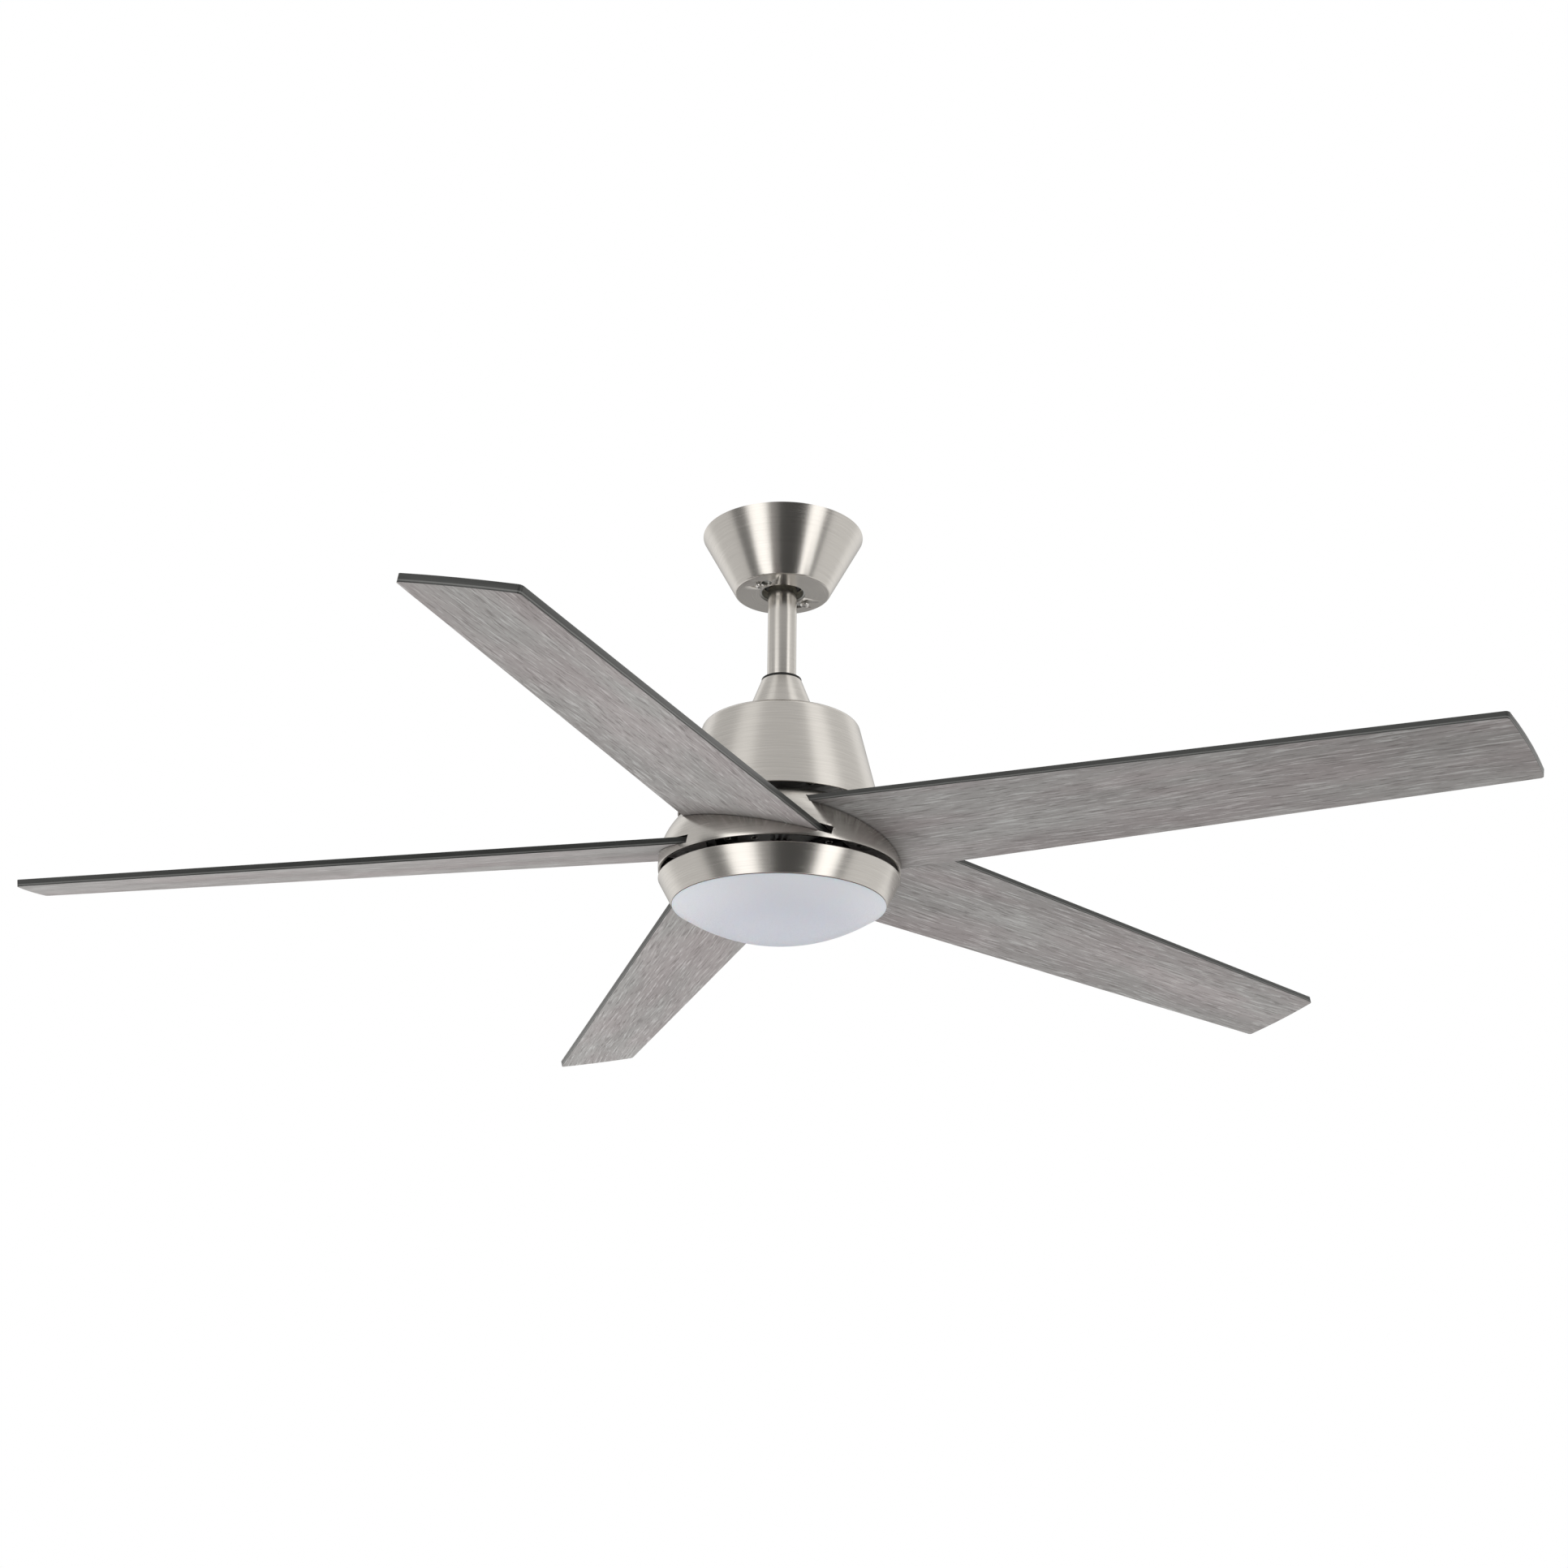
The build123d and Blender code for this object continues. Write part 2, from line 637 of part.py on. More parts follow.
bearing_seat = bearing_radius + fit_gap
bearing_boss = bearing_seat + 3.0
with BuildPart() as rotor_shell:
    disc(rotor_radius, rotor_radius - rotor_wall, rotor_top_z, rotor_bottom_z + cover_plate)
    disc(rotor_radius, bearing_seat, rotor_top_z, rotor_top_z - rotor_wall)
    disc(bearing_boss, bearing_seat, upper_bearing_z, upper_bearing_z - bearing_width)
    with BuildSketch(Plane.XY.offset(rotor_top_z)):
        with PolarLocations((bearing_boss + rotor_radius) / 2, 10):
            SlotOverall(18.0, 8.0)
    extrude(amount=-rotor_wall, mode=Mode.SUBTRACT)
finish(rotor_shell, "rotor_shell")

magnet_gap = 3.0
with BuildPart() as magnet_ring:
    with BuildSketch(Plane.XY.offset(stack_z - stack_height / 2 - 2.0)):
        Circle(rotor_radius - rotor_wall - fit_gap)
        Circle(magnet_inner, mode=Mode.SUBTRACT)
        with PolarLocations(magnet_inner, magnet_count):
            Rectangle(4 * magnet_thickness, magnet_gap, mode=Mode.SUBTRACT)
    extrude(amount=stack_height + 4.0)
finish(magnet_ring, "magnet_ring")

rotor_screw_circle = rotor_radius - 10.0
hub_screw_circle = (bearing_boss + boss_radius) / 2
hub_screw_radius = 2.0
hub_screw_bite = 10.0
with BuildPart() as rotor_cover:
    disc(rotor_radius, bearing_seat, rotor_bottom_z + cover_plate, rotor_bottom_z)
    disc(boss_radius, bearing_seat, rotor_bottom_z, hub_top_z)
    with BuildSketch(Plane.XY.offset(hub_top_z)):
        with PolarLocations(hub_screw_circle, blade_count):
            Circle(hub_screw_radius + screw_gap)
    extrude(amount=hub_screw_bite + 2.0, mode=Mode.SUBTRACT)
    with BuildSketch(Plane.XY.offset(rotor_bottom_z)):
        with PolarLocations(rotor_screw_circle, 6):
            Circle(small_screw_hole)
    extrude(amount=cover_plate, mode=Mode.SUBTRACT)
finish(rotor_cover, "rotor_cover")

with BuildPart() as rotor_screws:
    with Locations((0, 0, rotor_bottom_z)):
        with PolarLocations(rotor_screw_circle, 6):
            add(pan_screw(screw_radius, cover_plate, screw_head_radius, screw_head_height))
finish(rotor_screws, "rotor_screws")

# ================================================================ turning hub
hub_shoulder_z = hub_top_z - 0.6
hub_middle_z = along(hub_top_z, hub_bottom_z, 0.415)
with BuildPart() as hub_ring:
    with BuildSketch(Plane.XZ):
        with BuildLine():
            ThreePointArc(
                (hub_rim_radius, hub_bottom_z),
                (hub_mid_radius, hub_middle_z),
                (hub_top_radius, hub_shoulder_z),
            )
            Line((hub_top_radius, hub_shoulder_z), (hub_top_radius - 1.5, hub_top_z))
            Line((hub_top_radius - 1.5, hub_top_z), (bearing_seat, hub_top_z))
            Line((bearing_seat, hub_top_z), (bearing_seat, flywheel_top_z))
            Line((bearing_seat, flywheel_top_z), (hub_top_radius - 4.0, flywheel_top_z))
            ThreePointArc(
                (hub_top_radius - 4.0, flywheel_top_z),
                (hub_mid_radius - hub_wall, hub_middle_z),
                (hub_rim_radius - hub_wall, hub_bottom_z),
            )
            Line((hub_rim_radius - hub_wall, hub_bottom_z), (hub_rim_radius, hub_bottom_z))
        make_face()
    revolve(axis=Axis.Z)
    for azimuth in blade_azimuths:
        with BuildSketch(blade_plane(azimuth).offset(-slot_room)):
            with Locations((blade_root, (blade_lead_root + slot_overrun - blade_trail_root) / 2)):
                Rectangle(
                    hub_rim_radius,
                    blade_lead_root + blade_trail_root + slot_overrun,
                    align=(Align.MIN, Align.CENTER),
                )
        extrude(amount=blade_thickness + 2 * slot_room, mode=Mode.SUBTRACT)
    with BuildSketch(Plane.XY.offset(hub_top_z)):
        with PolarLocations(hub_screw_circle, blade_count):
            Circle(hub_screw_radius + screw_gap)
    extrude(amount=-hub_plate, mode=Mode.SUBTRACT)
finish(hub_ring, "hub_ring")

carrier_screw_circle = (foot_inner + web_outer) / 2 - 1.0
carrier_screw_side = 10.0
carrier_screw_length = carrier_gauge + flywheel_thickness - 1.0
with BuildPart() as flywheel:
    disc(flywheel_radius, flywheel_bore, flywheel_top_z, foot_top_z)
    with BuildSketch(Plane.XY.offset(foot_top_z)):
        with PolarLocations(hub_screw_circle, blade_count):
            Circle(hub_screw_radius + screw_gap)
        for azimuth in blade_azimuths:
            with PolarLocations(0, 1, start_angle=azimuth):
                with Locations(*[(carrier_screw_circle, side * carrier_screw_side) for side in (-1, 1)]):
                    Circle(small_screw_hole)
    extrude(amount=flywheel_thickness, mode=Mode.SUBTRACT)
finish(flywheel, "flywheel")

with BuildPart() as hub_screws:
    with Locations((0, 0, foot_top_z)):
        with PolarLocations(hub_screw_circle, blade_count):
            add(pan_screw(hub_screw_radius, flywheel_thickness + hub_plate + hub_screw_bite, 3.6, 2.2))
finish(hub_screws, "hub_screws")

pad_inner = web_outer - carrier_gauge
blade_screw_spots = [(pad_inner + 17.0, -18.0), (pad_inner + 17.0, 18.0), (pad_inner + 26.0, 0.0)]
blade_screw_length = carrier_gauge + blade_thickness - 1.0
web_height = foot_top_z - (blade_z - blade_root * tan(radians(blade_droop))) - blade_thickness
for number, azimuth in enumerate(blade_azimuths, start=1):
    with BuildPart() as blade_carrier:
        with BuildSketch(level_plane(azimuth, foot_top_z)):
            with Locations(((foot_inner + web_outer) / 2, 0)):
                Rectangle(web_outer - foot_inner, carrier_width)
            with Locations(*[(carrier_screw_circle, side * carrier_screw_side) for side in (-1, 1)]):
                Circle(small_screw_hole, mode=Mode.SUBTRACT)
        extrude(amount=-carrier_gauge)
        with BuildSketch(level_plane(azimuth, foot_top_z)):
            with Locations((web_outer - carrier_gauge / 2, 0)):
                Rectangle(carrier_gauge, carrier_width)
        extrude(amount=-web_height)
        with BuildSketch(blade_plane(azimuth).offset(blade_thickness)):
            with Locations(((pad_inner + pad_outer) / 2, 0)):
                Rectangle(pad_outer - pad_inner, pad_width)
            with Locations(*blade_screw_spots):
                Circle(small_screw_hole, mode=Mode.SUBTRACT)
        extrude(amount=carrier_gauge)
    finish(blade_carrier, f"blade_carrier_{number}")

with BuildPart() as carrier_screws:
    for azimuth in blade_azimuths:
        with Locations(level_plane(azimuth, foot_top_z - carrier_gauge).location):
            with Locations(*[(carrier_screw_circle, side * carrier_screw_side) for side in (-1, 1)]):
                add(pan_screw(screw_radius, carrier_screw_length, screw_head_radius, screw_head_height))
finish(carrier_screws, "carrier_screws")

# ================================================================ blades
blade_reach = tip_radius / cos(radians(blade_droop))
tip_middle = (blade_lead_tip - blade_trail_tip) / 2
for number, azimuth in enumerate(blade_azimuths, start=1):
    with BuildPart() as blade:
        with BuildSketch(blade_plane(azimuth)) as outline:
            with BuildLine():
                Polyline(
                    (blade_reach - tip_bulge, blade_lead_tip),
                    (blade_root, blade_lead_root),
                    (blade_root, -blade_trail_root),
                    (blade_reach, -blade_trail_tip),
                )
                ThreePointArc(
                    (blade_reach, -blade_trail_tip),
                    (blade_reach + tip_bulge * 0.2, tip_middle - 4.0),
                    (blade_reach - tip_bulge, blade_lead_tip),
                )
            make_face()
            tip_corners = outline.vertices().filter_by(lambda v: v.X**2 + v.Y**2 > (tip_radius / 2) ** 2)
            fillet(tip_corners, tip_corner)
            with Locations(*blade_screw_spots):
                Circle(small_screw_hole, mode=Mode.SUBTRACT)
        extrude(amount=blade_thickness)
    finish(blade, f"blade_{number}")

with BuildPart() as blade_screws:
    for azimuth in blade_azimuths:
        with Locations(blade_plane(azimuth).offset(blade_thickness + carrier_gauge).location):
            with Locations(*blade_screw_spots):
                with Locations(Location((0, 0, 0), (180, 0, 0))):
                    add(pan_screw(screw_radius, blade_screw_length, screw_head_radius, screw_head_height))
finish(blade_screws, "blade_screws")

# ================================================================ light
with BuildPart() as adapter_plate:
    disc(adapter_radius, shaft_radius + fit_gap, adapter_top_z, band_top_z)
    with BuildSketch(Plane.XY.offset(band_top_z)):
        with PolarLocations(pan_screw_circle, 3, start_angle=60):
            Circle(small_screw_hole)
    extrude(amount=adapter_thickness, mode=Mode.SUBTRACT)
finish(adapter_plate, "adapter_plate")

with BuildPart() as shaft_nut:
    with BuildSketch(Plane.XY.offset(band_top_z)):
        RegularPolygon(shaft_radius + 5.0, 6)
        Circle(shaft_radius + fit_gap, mode=Mode.SUBTRACT)
    extrude(amount=-5.0)
finish(shaft_nut, "shaft_nut")

band_slope = (band_top_radius - band_bottom_radius) / band_height
band_step = band_wall * sqrt(1 + band_slope**2)
tab_radius = diffuser_collar + diffuser_tab
lip_top_z = band_bottom_z + pan_lip
tab_width = 14.0
notch_width = tab_width + 2.0
with BuildPart() as light_pan:
    turned(
        (pan_bore, band_top_z),
        (band_top_radius, band_top_z),
        (band_bottom_radius, band_bottom_z),
        (diffuser_collar + turn_gap, band_bottom_z),
        (diffuser_collar + turn_gap, lip_top_z),
        (band_bottom_radius - band_step + band_slope * pan_lip, lip_top_z),
        (band_top_radius - band_step - band_slope * pan_top, board_z),
        (pan_bore, board_z),
    )
    with BuildSketch(Plane.XY.offset(band_bottom_z)):
        with PolarLocations((diffuser_collar + tab_radius) / 2, 3, start_angle=-diffuser_twist):
            Rectangle(diffuser_tab + turn_gap, notch_width)
    extrude(amount=pan_lip, mode=Mode.SUBTRACT)
    with BuildSketch(Plane.XY.offset(band_top_z)):
        with PolarLocations(pan_screw_circle, 3, start_angle=60):
            Circle(small_screw_hole)
    extrude(amount=-pan_top, mode=Mode.SUBTRACT)
finish(light_pan, "light_pan")

pan_screw_length = pan_top + adapter_thickness - 0.5
with BuildPart() as pan_screws:
    with Locations((0, 0, board_z)):
        with PolarLocations(pan_screw_circle, 3, start_angle=60):
            add(pan_screw(screw_radius, pan_screw_length, screw_head_radius, screw_head_height))
finish(pan_screws, "pan_screws")

with BuildPart() as led_driver:
    with Locations((shaft_radius + 7.0, 0, adapter_top_z)):
        Box(driver_length, driver_width, driver_height, align=(Align.MIN, Align.CENTER, Align.MIN))
    fillet(led_driver.edges().filter_by(Axis.Z), 2.0)
    fillet(led_driver.faces().sort_by(Axis.Z)[-1].edges(), 1.0)
finish(led_driver, "led_driver")

with BuildPart() as led_board:
    disc(led_board_radius, pan_bore + 2.0, board_z, board_z - led_board_thickness)
    with BuildSketch(Plane.XY.offset(board_z)):
        with PolarLocations(pan_screw_circle, 3, start_angle=60):
            Circle(screw_head_radius + 1.0)
    extrude(amount=-led_board_thickness, mode=Mode.SUBTRACT)
finish(led_board, "led_board")

with BuildPart() as led_chips:
    with BuildSketch(Plane.XY.offset(board_z - led_board_thickness)):
        for share, count in ((0.45, 10), (0.78, 18), (0.93, 24)):
            with PolarLocations(led_board_radius * share, count):
                Rectangle(3.5, 2.8)
    extrude(amount=-0.8)
finish(led_chips, "led_chips")


def dome_point(radius, apex_z, share):
    """A point of the shallow dome of this rim radius and apex, at a share of its radius."""
    sag = rim_z - apex_z
    curve = (radius**2 + sag**2) / (2 * sag)
    drop = sqrt(curve**2 - (radius * share) ** 2) - (curve - sag)
    return (radius * share, rim_z - drop)


# The frosted diffuser: a shallow dome, and a collar with three tabs that turn in the pan.
dome_radius = band_bottom_radius - 0.5
dome_apex_z = rim_z - diffuser_sag
collar_inner = diffuser_collar - diffuser_wall
tab_bottom_z = lip_top_z + turn_gap
collar_top_z = tab_bottom_z + 3.0
inner_apex_z = dome_apex_z + diffuser_wall
with BuildPart() as diffuser:
    with BuildSketch(Plane.XZ):
        with BuildLine():
            ThreePointArc(
                (0, dome_apex_z),
                dome_point(dome_radius, dome_apex_z, 0.5),
                (dome_radius, rim_z),
            )
            Polyline(
                (dome_radius, rim_z),
                (diffuser_collar, rim_z),
                (diffuser_collar, collar_top_z),
                (collar_inner, collar_top_z),
                (collar_inner, rim_z),
            )
            ThreePointArc(
                (collar_inner, rim_z),
                dome_point(collar_inner, inner_apex_z, 0.5),
                (0, inner_apex_z),
            )
            Line((0, inner_apex_z), (0, dome_apex_z))
        make_face()
    revolve(axis=Axis.Z)
    with BuildSketch(Plane.XY.offset(tab_bottom_z)) as tabs:
        Circle(tab_radius)
        Circle(diffuser_collar - 0.5, mode=Mode.SUBTRACT)
        with PolarLocations(tab_radius, 3):
            Rectangle(12.0, tab_width, mode=Mode.INTERSECT)
    extrude(amount=collar_top_z - tab_bottom_z)
finish(diffuser, "diffuser")
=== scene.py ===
# %% [markdown]
# # A ceiling fan with a light
# The working model comes in first, with every piece already in its place and on the body
# that it moves with. This script gives the pieces their final surfaces: spun and brushed
# nickel, weathered oak blades, a frosted light, and the plainer metals inside.

# %% Load the working model
import json
import math

import bmesh
import bpy
from mathutils import Matrix, Vector


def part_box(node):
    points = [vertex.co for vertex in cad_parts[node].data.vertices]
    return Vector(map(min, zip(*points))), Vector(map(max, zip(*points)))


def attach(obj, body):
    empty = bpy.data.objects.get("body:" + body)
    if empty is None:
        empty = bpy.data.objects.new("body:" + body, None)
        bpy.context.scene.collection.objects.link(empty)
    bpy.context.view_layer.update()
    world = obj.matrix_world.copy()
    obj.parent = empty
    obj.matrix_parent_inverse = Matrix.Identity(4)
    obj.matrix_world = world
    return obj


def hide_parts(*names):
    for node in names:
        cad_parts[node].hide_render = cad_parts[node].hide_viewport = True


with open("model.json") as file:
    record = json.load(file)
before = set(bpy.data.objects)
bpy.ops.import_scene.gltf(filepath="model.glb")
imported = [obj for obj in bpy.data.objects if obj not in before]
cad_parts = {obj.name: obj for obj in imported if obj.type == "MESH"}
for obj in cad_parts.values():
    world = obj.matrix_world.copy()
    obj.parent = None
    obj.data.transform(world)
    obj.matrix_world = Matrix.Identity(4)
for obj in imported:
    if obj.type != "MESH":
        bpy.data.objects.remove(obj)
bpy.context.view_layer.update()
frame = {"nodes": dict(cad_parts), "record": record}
nodes = frame["nodes"]
slots = {part["node"]: part["material_slot"] for part in frame["record"]["subparts"]}
body_of = {n: b for b, group in frame["record"]["behaviour"]["bodies"].items() for n in group}

# %% [markdown]
# ## Arithmetic for finishes
# A finish is a small network of nodes. Wrapping each socket in a class lets the network be
# written as ordinary sums, which is shorter and easier to read than wiring by hand.


# %% A socket that does arithmetic
class Value:
    """A number, colour or vector that comes out of a node."""

    def __init__(self, tree, socket):
        self.tree = tree
        self.socket = socket

    def math(self, operation, *others):
        inputs = dict(enumerate((self,) + others))
        return self.tree.node("ShaderNodeMath", {"operation": operation}, inputs)

    def __add__(self, other):
        return self.math("ADD", other)

    def __sub__(self, other):
        return self.math("SUBTRACT", other)

    def __mul__(self, other):
        return self.math("MULTIPLY", other)

    def __truediv__(self, other):
        return self.math("DIVIDE", other)

    def __pow__(self, other):
        return self.math("POWER", other)

    def __rsub__(self, other):
        return self.tree.node("ShaderNodeMath", {"operation": "SUBTRACT"}, {0: other, 1: self})

    __radd__ = __add__
    __rmul__ = __mul__


# %% A network of nodes
class Tree:
    """The nodes of one finish, of one shaping rule or of the studio's surroundings."""

    def __init__(self, node_tree):
        self.nodes = node_tree.nodes
        self.links = node_tree.links

    def node(self, kind, settings=None, inputs=None, output=0):
        """Add a node, set it up, fill its sockets and give back one of its outputs."""
        made = self.nodes.new(kind)
        for key, value in (settings or {}).items():
            setattr(made, key, value)
        for key, value in (inputs or {}).items():
            if isinstance(value, Value):
                self.links.new(value.socket, made.inputs[key])
            else:
                made.inputs[key].default_value = value
        return Value(self, made.outputs[output])

    def parts(self, vector):
        """The x, y and z of a vector."""
        first = self.node("ShaderNodeSeparateXYZ", inputs={0: vector})
        return [Value(self, output) for output in first.socket.node.outputs]

    def vector(self, x, y, z):
        return self.node("ShaderNodeCombineXYZ", inputs={0: x, 1: y, 2: z})

    def noise(self, vector, scale, detail=3.0, roughness=0.5, distortion=0.0):
        """Soft random patches from 0 to 1."""
        sockets = {"Vector": vector, "Scale": scale, "Detail": detail}
        sockets |= {"Roughness": roughness, "Distortion": distortion}
        return self.node("ShaderNodeTexNoise", inputs=sockets)

    def ramp(self, value, low, high, to_low=0.0, to_high=1.0):
        """A smooth step of value from to_low at low to to_high at high."""
        sockets = {0: value, 1: low, 2: high, 3: to_low, 4: to_high}
        return self.node("ShaderNodeMapRange", {"interpolation_type": "SMOOTHSTEP"}, sockets)

    def mix(self, factor, first, second, blend="MIX"):
        """A blend of two colours."""
        settings = {"data_type": "RGBA", "blend_type": blend}
        return self.node("ShaderNodeMix", settings, {0: factor, 6: first, 7: second}, 2)

    def bump(self, height, strength, distance):
        sockets = {"Height": height, "Strength": strength, "Distance": distance}
        return self.node("ShaderNodeBump", inputs=sockets)


# %% A finish is a material with one surface shader
class Finish(Tree):
    """A material whose look is one Principled shader."""

    def __init__(self, name, **constants):
        self.material = bpy.data.materials.new(name)
        self.material.use_nodes = True
        super().__init__(self.material.node_tree)
        self.shader = self.nodes["Principled BSDF"]
        self.set(**constants)

    def set(self, **sockets):
        for key, value in sockets.items():
            socket = self.shader.inputs[key.replace("_", " ")]
            if isinstance(value, Value):
                self.links.new(value.socket, socket)
            else:
                socket.default_value = value

    def place(self):
        """The x, y and z of a point on the piece, in metres."""
        return self.parts(self.node("ShaderNodeTexCoord", output=3))


def grey(level):
    return (level, level, level, 1.0)


print("arithmetic ready")

# %% [markdown]
# ## Plain meshes
# A modifier is a live recipe: it is worked out again each time the scene changes. The pieces
# are handed over as plain meshes, so every recipe is baked into its piece and then removed.
# Smooth shading hides the facets of round walls, and edges sharper than a set angle stay crisp.


# %% Bake and shade a piece
def shade(piece, sharp=35.0):
    """Shade a piece smooth, but for the edges that turn by more than sharp degrees."""
    piece.data.shade_smooth()
    piece.data.set_sharp_from_angle(angle=math.radians(sharp))
    return piece


def bake(piece, sharp=35.0):
    """Turn a piece and its modifiers into a plain, shaded mesh."""
    shaped = piece.evaluated_get(bpy.context.evaluated_depsgraph_get())
    plain = bpy.data.meshes.new_from_object(shaped)
    piece.modifiers.clear()
    piece.data = plain
    return shade(piece, sharp)


def add_object(name, data):
    """A new object in the scene."""
    made = bpy.data.objects.new(name, data)
    bpy.context.scene.collection.objects.link(made)
    return made


print("baking ready")

# %% [markdown]
# ## Brushed nickel
# The canopy, rod, housing, hub and light band are spun on a lathe and brushed while they
# turn, so the scratches are rings round the fan's axis. A noise that changes fast with
# height and radius, and hardly at all round the axis, makes just those rings.


# %% The nickel finish
def brushed_nickel(name, base, roughness):
    """Satin metal, brushed in rings round the upright axis."""
    finish = Finish(name, Metallic=1.0, Anisotropic=0.45, Anisotropic_Rotation=0.25)
    x, y, z = finish.place()
    radius = (x * x + y * y) ** 0.5
    ring = z + radius * 0.83
    fine = finish.noise(finish.vector(x * 26.0, y * 26.0, ring * 3000.0), 1.0, 2.0)
    broad = finish.noise(finish.vector(x * 9.0, y * 9.0, ring * 1100.0), 1.0, 3.0)
    cloud = finish.noise(finish.vector(x, y, z), 16.0, 2.0)
    streak = fine * 0.7 + broad * 0.3
    dark = tuple(c * 0.935 for c in base[:3]) + (1.0,)
    light = tuple(min(1.0, c * 1.05) for c in base[:3]) + (1.0,)
    finish.set(
        Base_Color=finish.mix(finish.ramp(streak, 0.32, 0.68), dark, light),
        Roughness=streak * 0.12 + cloud * 0.04 + (roughness - 0.08),
        Normal=finish.bump(streak, 0.035, 0.0002),
    )
    return finish.material


nickel = brushed_nickel("brushed_nickel", (0.670, 0.647, 0.612, 1.0), 0.25)
rod_nickel = brushed_nickel("rod_nickel", (0.645, 0.623, 0.590, 1.0), 0.22)
print("nickel finishes ready")

# %% [markdown]
# ## Weathered oak
# The blades are faced with a printed grey oak. Its grain runs along each blade, so the
# pattern follows the piece's own map: along the blade and across it, in metres. Each blade
# is moved along the map, so no two blades carry the same figure.


# %% The oak face
def oak_face(name, pale, deep, pore_colour, fleck_colour):
    """Grey oak: soft patches, growth rings sliced from a trunk, and short fine fibres."""
    finish = Finish(name, Specular_IOR_Level=0.35)
    along, across, _ = finish.parts(finish.node("ShaderNodeUVMap", {"uv_map": "grain"}))
    sway = finish.noise(finish.vector(along * 3.0, across * 10.0, 0.0), 1.0, 2.0)
    bent = across + (sway - 0.5) * 0.024
    patches = finish.noise(finish.vector(along * 3.5, bent * 22.0, 0.0), 1.0, 3.0, 0.55)
    ground = finish.mix(finish.ramp(patches, 0.30, 0.70), deep, pale)
    # A board cut beside the heart shows its rings as long nested arches.
    heart = finish.noise(finish.vector(along * 1.3, 0.0, 4.0), 1.0, 1.0)
    depth = (heart - 0.5) * 0.10 + (sway - 0.5) * 0.02
    trunk = (bent * bent + depth * depth) ** 0.5
    rings = (trunk * 980.0).math("SINE") * 0.5 + 0.5
    shown = finish.ramp(finish.noise(finish.vector(along * 4.0, across * 16.0, 7.0), 1.0, 1.0), 0.40, 0.62)
    ground = finish.mix(rings * shown * 0.20, ground, pore_colour)
    fibre = finish.noise(finish.vector(along * 26.0, bent * 430.0, 1.0), 1.0, 4.0, 0.7)
    pore = finish.noise(finish.vector(along * 34.0, bent * 560.0, 5.0), 1.0, 3.0, 0.65)
    ground = finish.mix(finish.ramp(fibre, 0.52, 0.62) * 0.62, ground, fleck_colour)
    ground = finish.mix(finish.ramp(pore, 0.53, 0.63) * 0.66, ground, pore_colour)
    tint = finish.noise(finish.vector(along * 6.0, across * 20.0, 11.0), 1.0, 2.0)
    warm = finish.mix(finish.ramp(tint, 0.35, 0.65), (0.99, 1.012, 1.0, 1.0), (1.022, 0.988, 0.99, 1.0))
    ground = finish.mix(1.0, ground, warm, "MULTIPLY")
    # Each blade's colour is scaled by a level of its own: painted light and shade, lighter on blades that
    # face the light and darker on those turned away.
    tone = finish.node("ShaderNodeAttribute", {"attribute_name": "tone"}, output=2)
    finish.set(
        Base_Color=finish.mix(1.0, ground, finish.vector(tone, tone, tone), "MULTIPLY"),
        Roughness=fibre * 0.12 + 0.48,
        Normal=finish.bump(fibre * 0.6 - pore * 0.4, 0.15, 0.0003),
    )
    return finish.material


oak_under = oak_face(
    "oak_under", (0.324, 0.311, 0.311, 1.0), (0.250, 0.236, 0.236, 1.0),
    (0.122, 0.110, 0.109, 1.0), (0.500, 0.494, 0.498, 1.0),
)
oak_over = oak_face(
    "oak_over", (0.270, 0.250, 0.244, 1.0), (0.190, 0.172, 0.167, 1.0),
    (0.105, 0.092, 0.088, 1.0), (0.360, 0.342, 0.336, 1.0),
)


# %% The dark edge band of a blade
def edge_band(name):
    """Charcoal edging; the map runs round the blade and from 0 below to 1 above."""
    finish = Finish(name, Specular_IOR_Level=0.5)
    run, height, _ = finish.parts(finish.node("ShaderNodeUVMap", {"uv_map": "grain"}))
    grain = finish.noise(finish.vector(run * 60.0, height * 5.0, 0.0), 1.0, 3.0, 0.6)
    # A thin lighter line low on the edge is a painted highlight, where the edge catches light.
    painted_highlight_line = finish.ramp(height, 0.12, 0.20) * finish.ramp(height, 0.36, 0.28)
    tone = finish.mix(grain, (0.026, 0.028, 0.027, 1.0), (0.050, 0.053, 0.051, 1.0))
    finish.set(
        Base_Color=finish.mix(painted_highlight_line * 0.7, tone, (0.210, 0.214, 0.210, 1.0)),
        Roughness=grain * 0.14 + 0.26,
        Normal=finish.bump(grain, 0.10, 0.0002),
    )
    return finish.material


edge_finish = edge_band("blade_edge_band")
print("oak finishes ready")

# %% [markdown]
# ## The frosted light
# The diffuser is moulded white acrylic. It scatters light inside, so it has a soft, cool,
# even face with a gentle sheen and no sharp reflections.


# %% The frosted acrylic
def frosted(name, rim_radius):
    """Cool white acrylic, its colour made lighter near its rim: a painted highlight for the light that also
    comes in from the side.
    """
    finish = Finish(name, Subsurface_Weight=0.25, Subsurface_Scale=0.01, IOR=1.49)
    x, y, z = finish.place()
    share = (x * x + y * y) ** 0.5 / rim_radius
    mist = finish.noise(finish.vector(x, y, z), 9.0, 2.0)
    tooth = finish.noise(finish.vector(x, y, z), 2600.0, 2.0)
    # A painted highlight: the colour grows lighter towards the rim, in soft patches.
    painted_rim_light = finish.ramp(share + (mist - 0.5) * 0.10, 0.55, 1.05)
    finish.set(
        Base_Color=finish.mix(painted_rim_light, (0.560, 0.572, 0.640, 1.0), (0.680, 0.685, 0.740, 1.0)),
        Roughness=tooth * 0.08 + 0.24,
        Normal=finish.bump(tooth, 0.03, 0.0001),
    )
    return finish.material


diffuser_finish = frosted("frosted_acrylic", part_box("diffuser")[1].x)


# %% [markdown]
# ## The other materials
# Screws, brackets, the motor and the light's insides are everyday workshop materials. Each
# is the same kind of network with its own colour, gloss, grain size and grain direction.


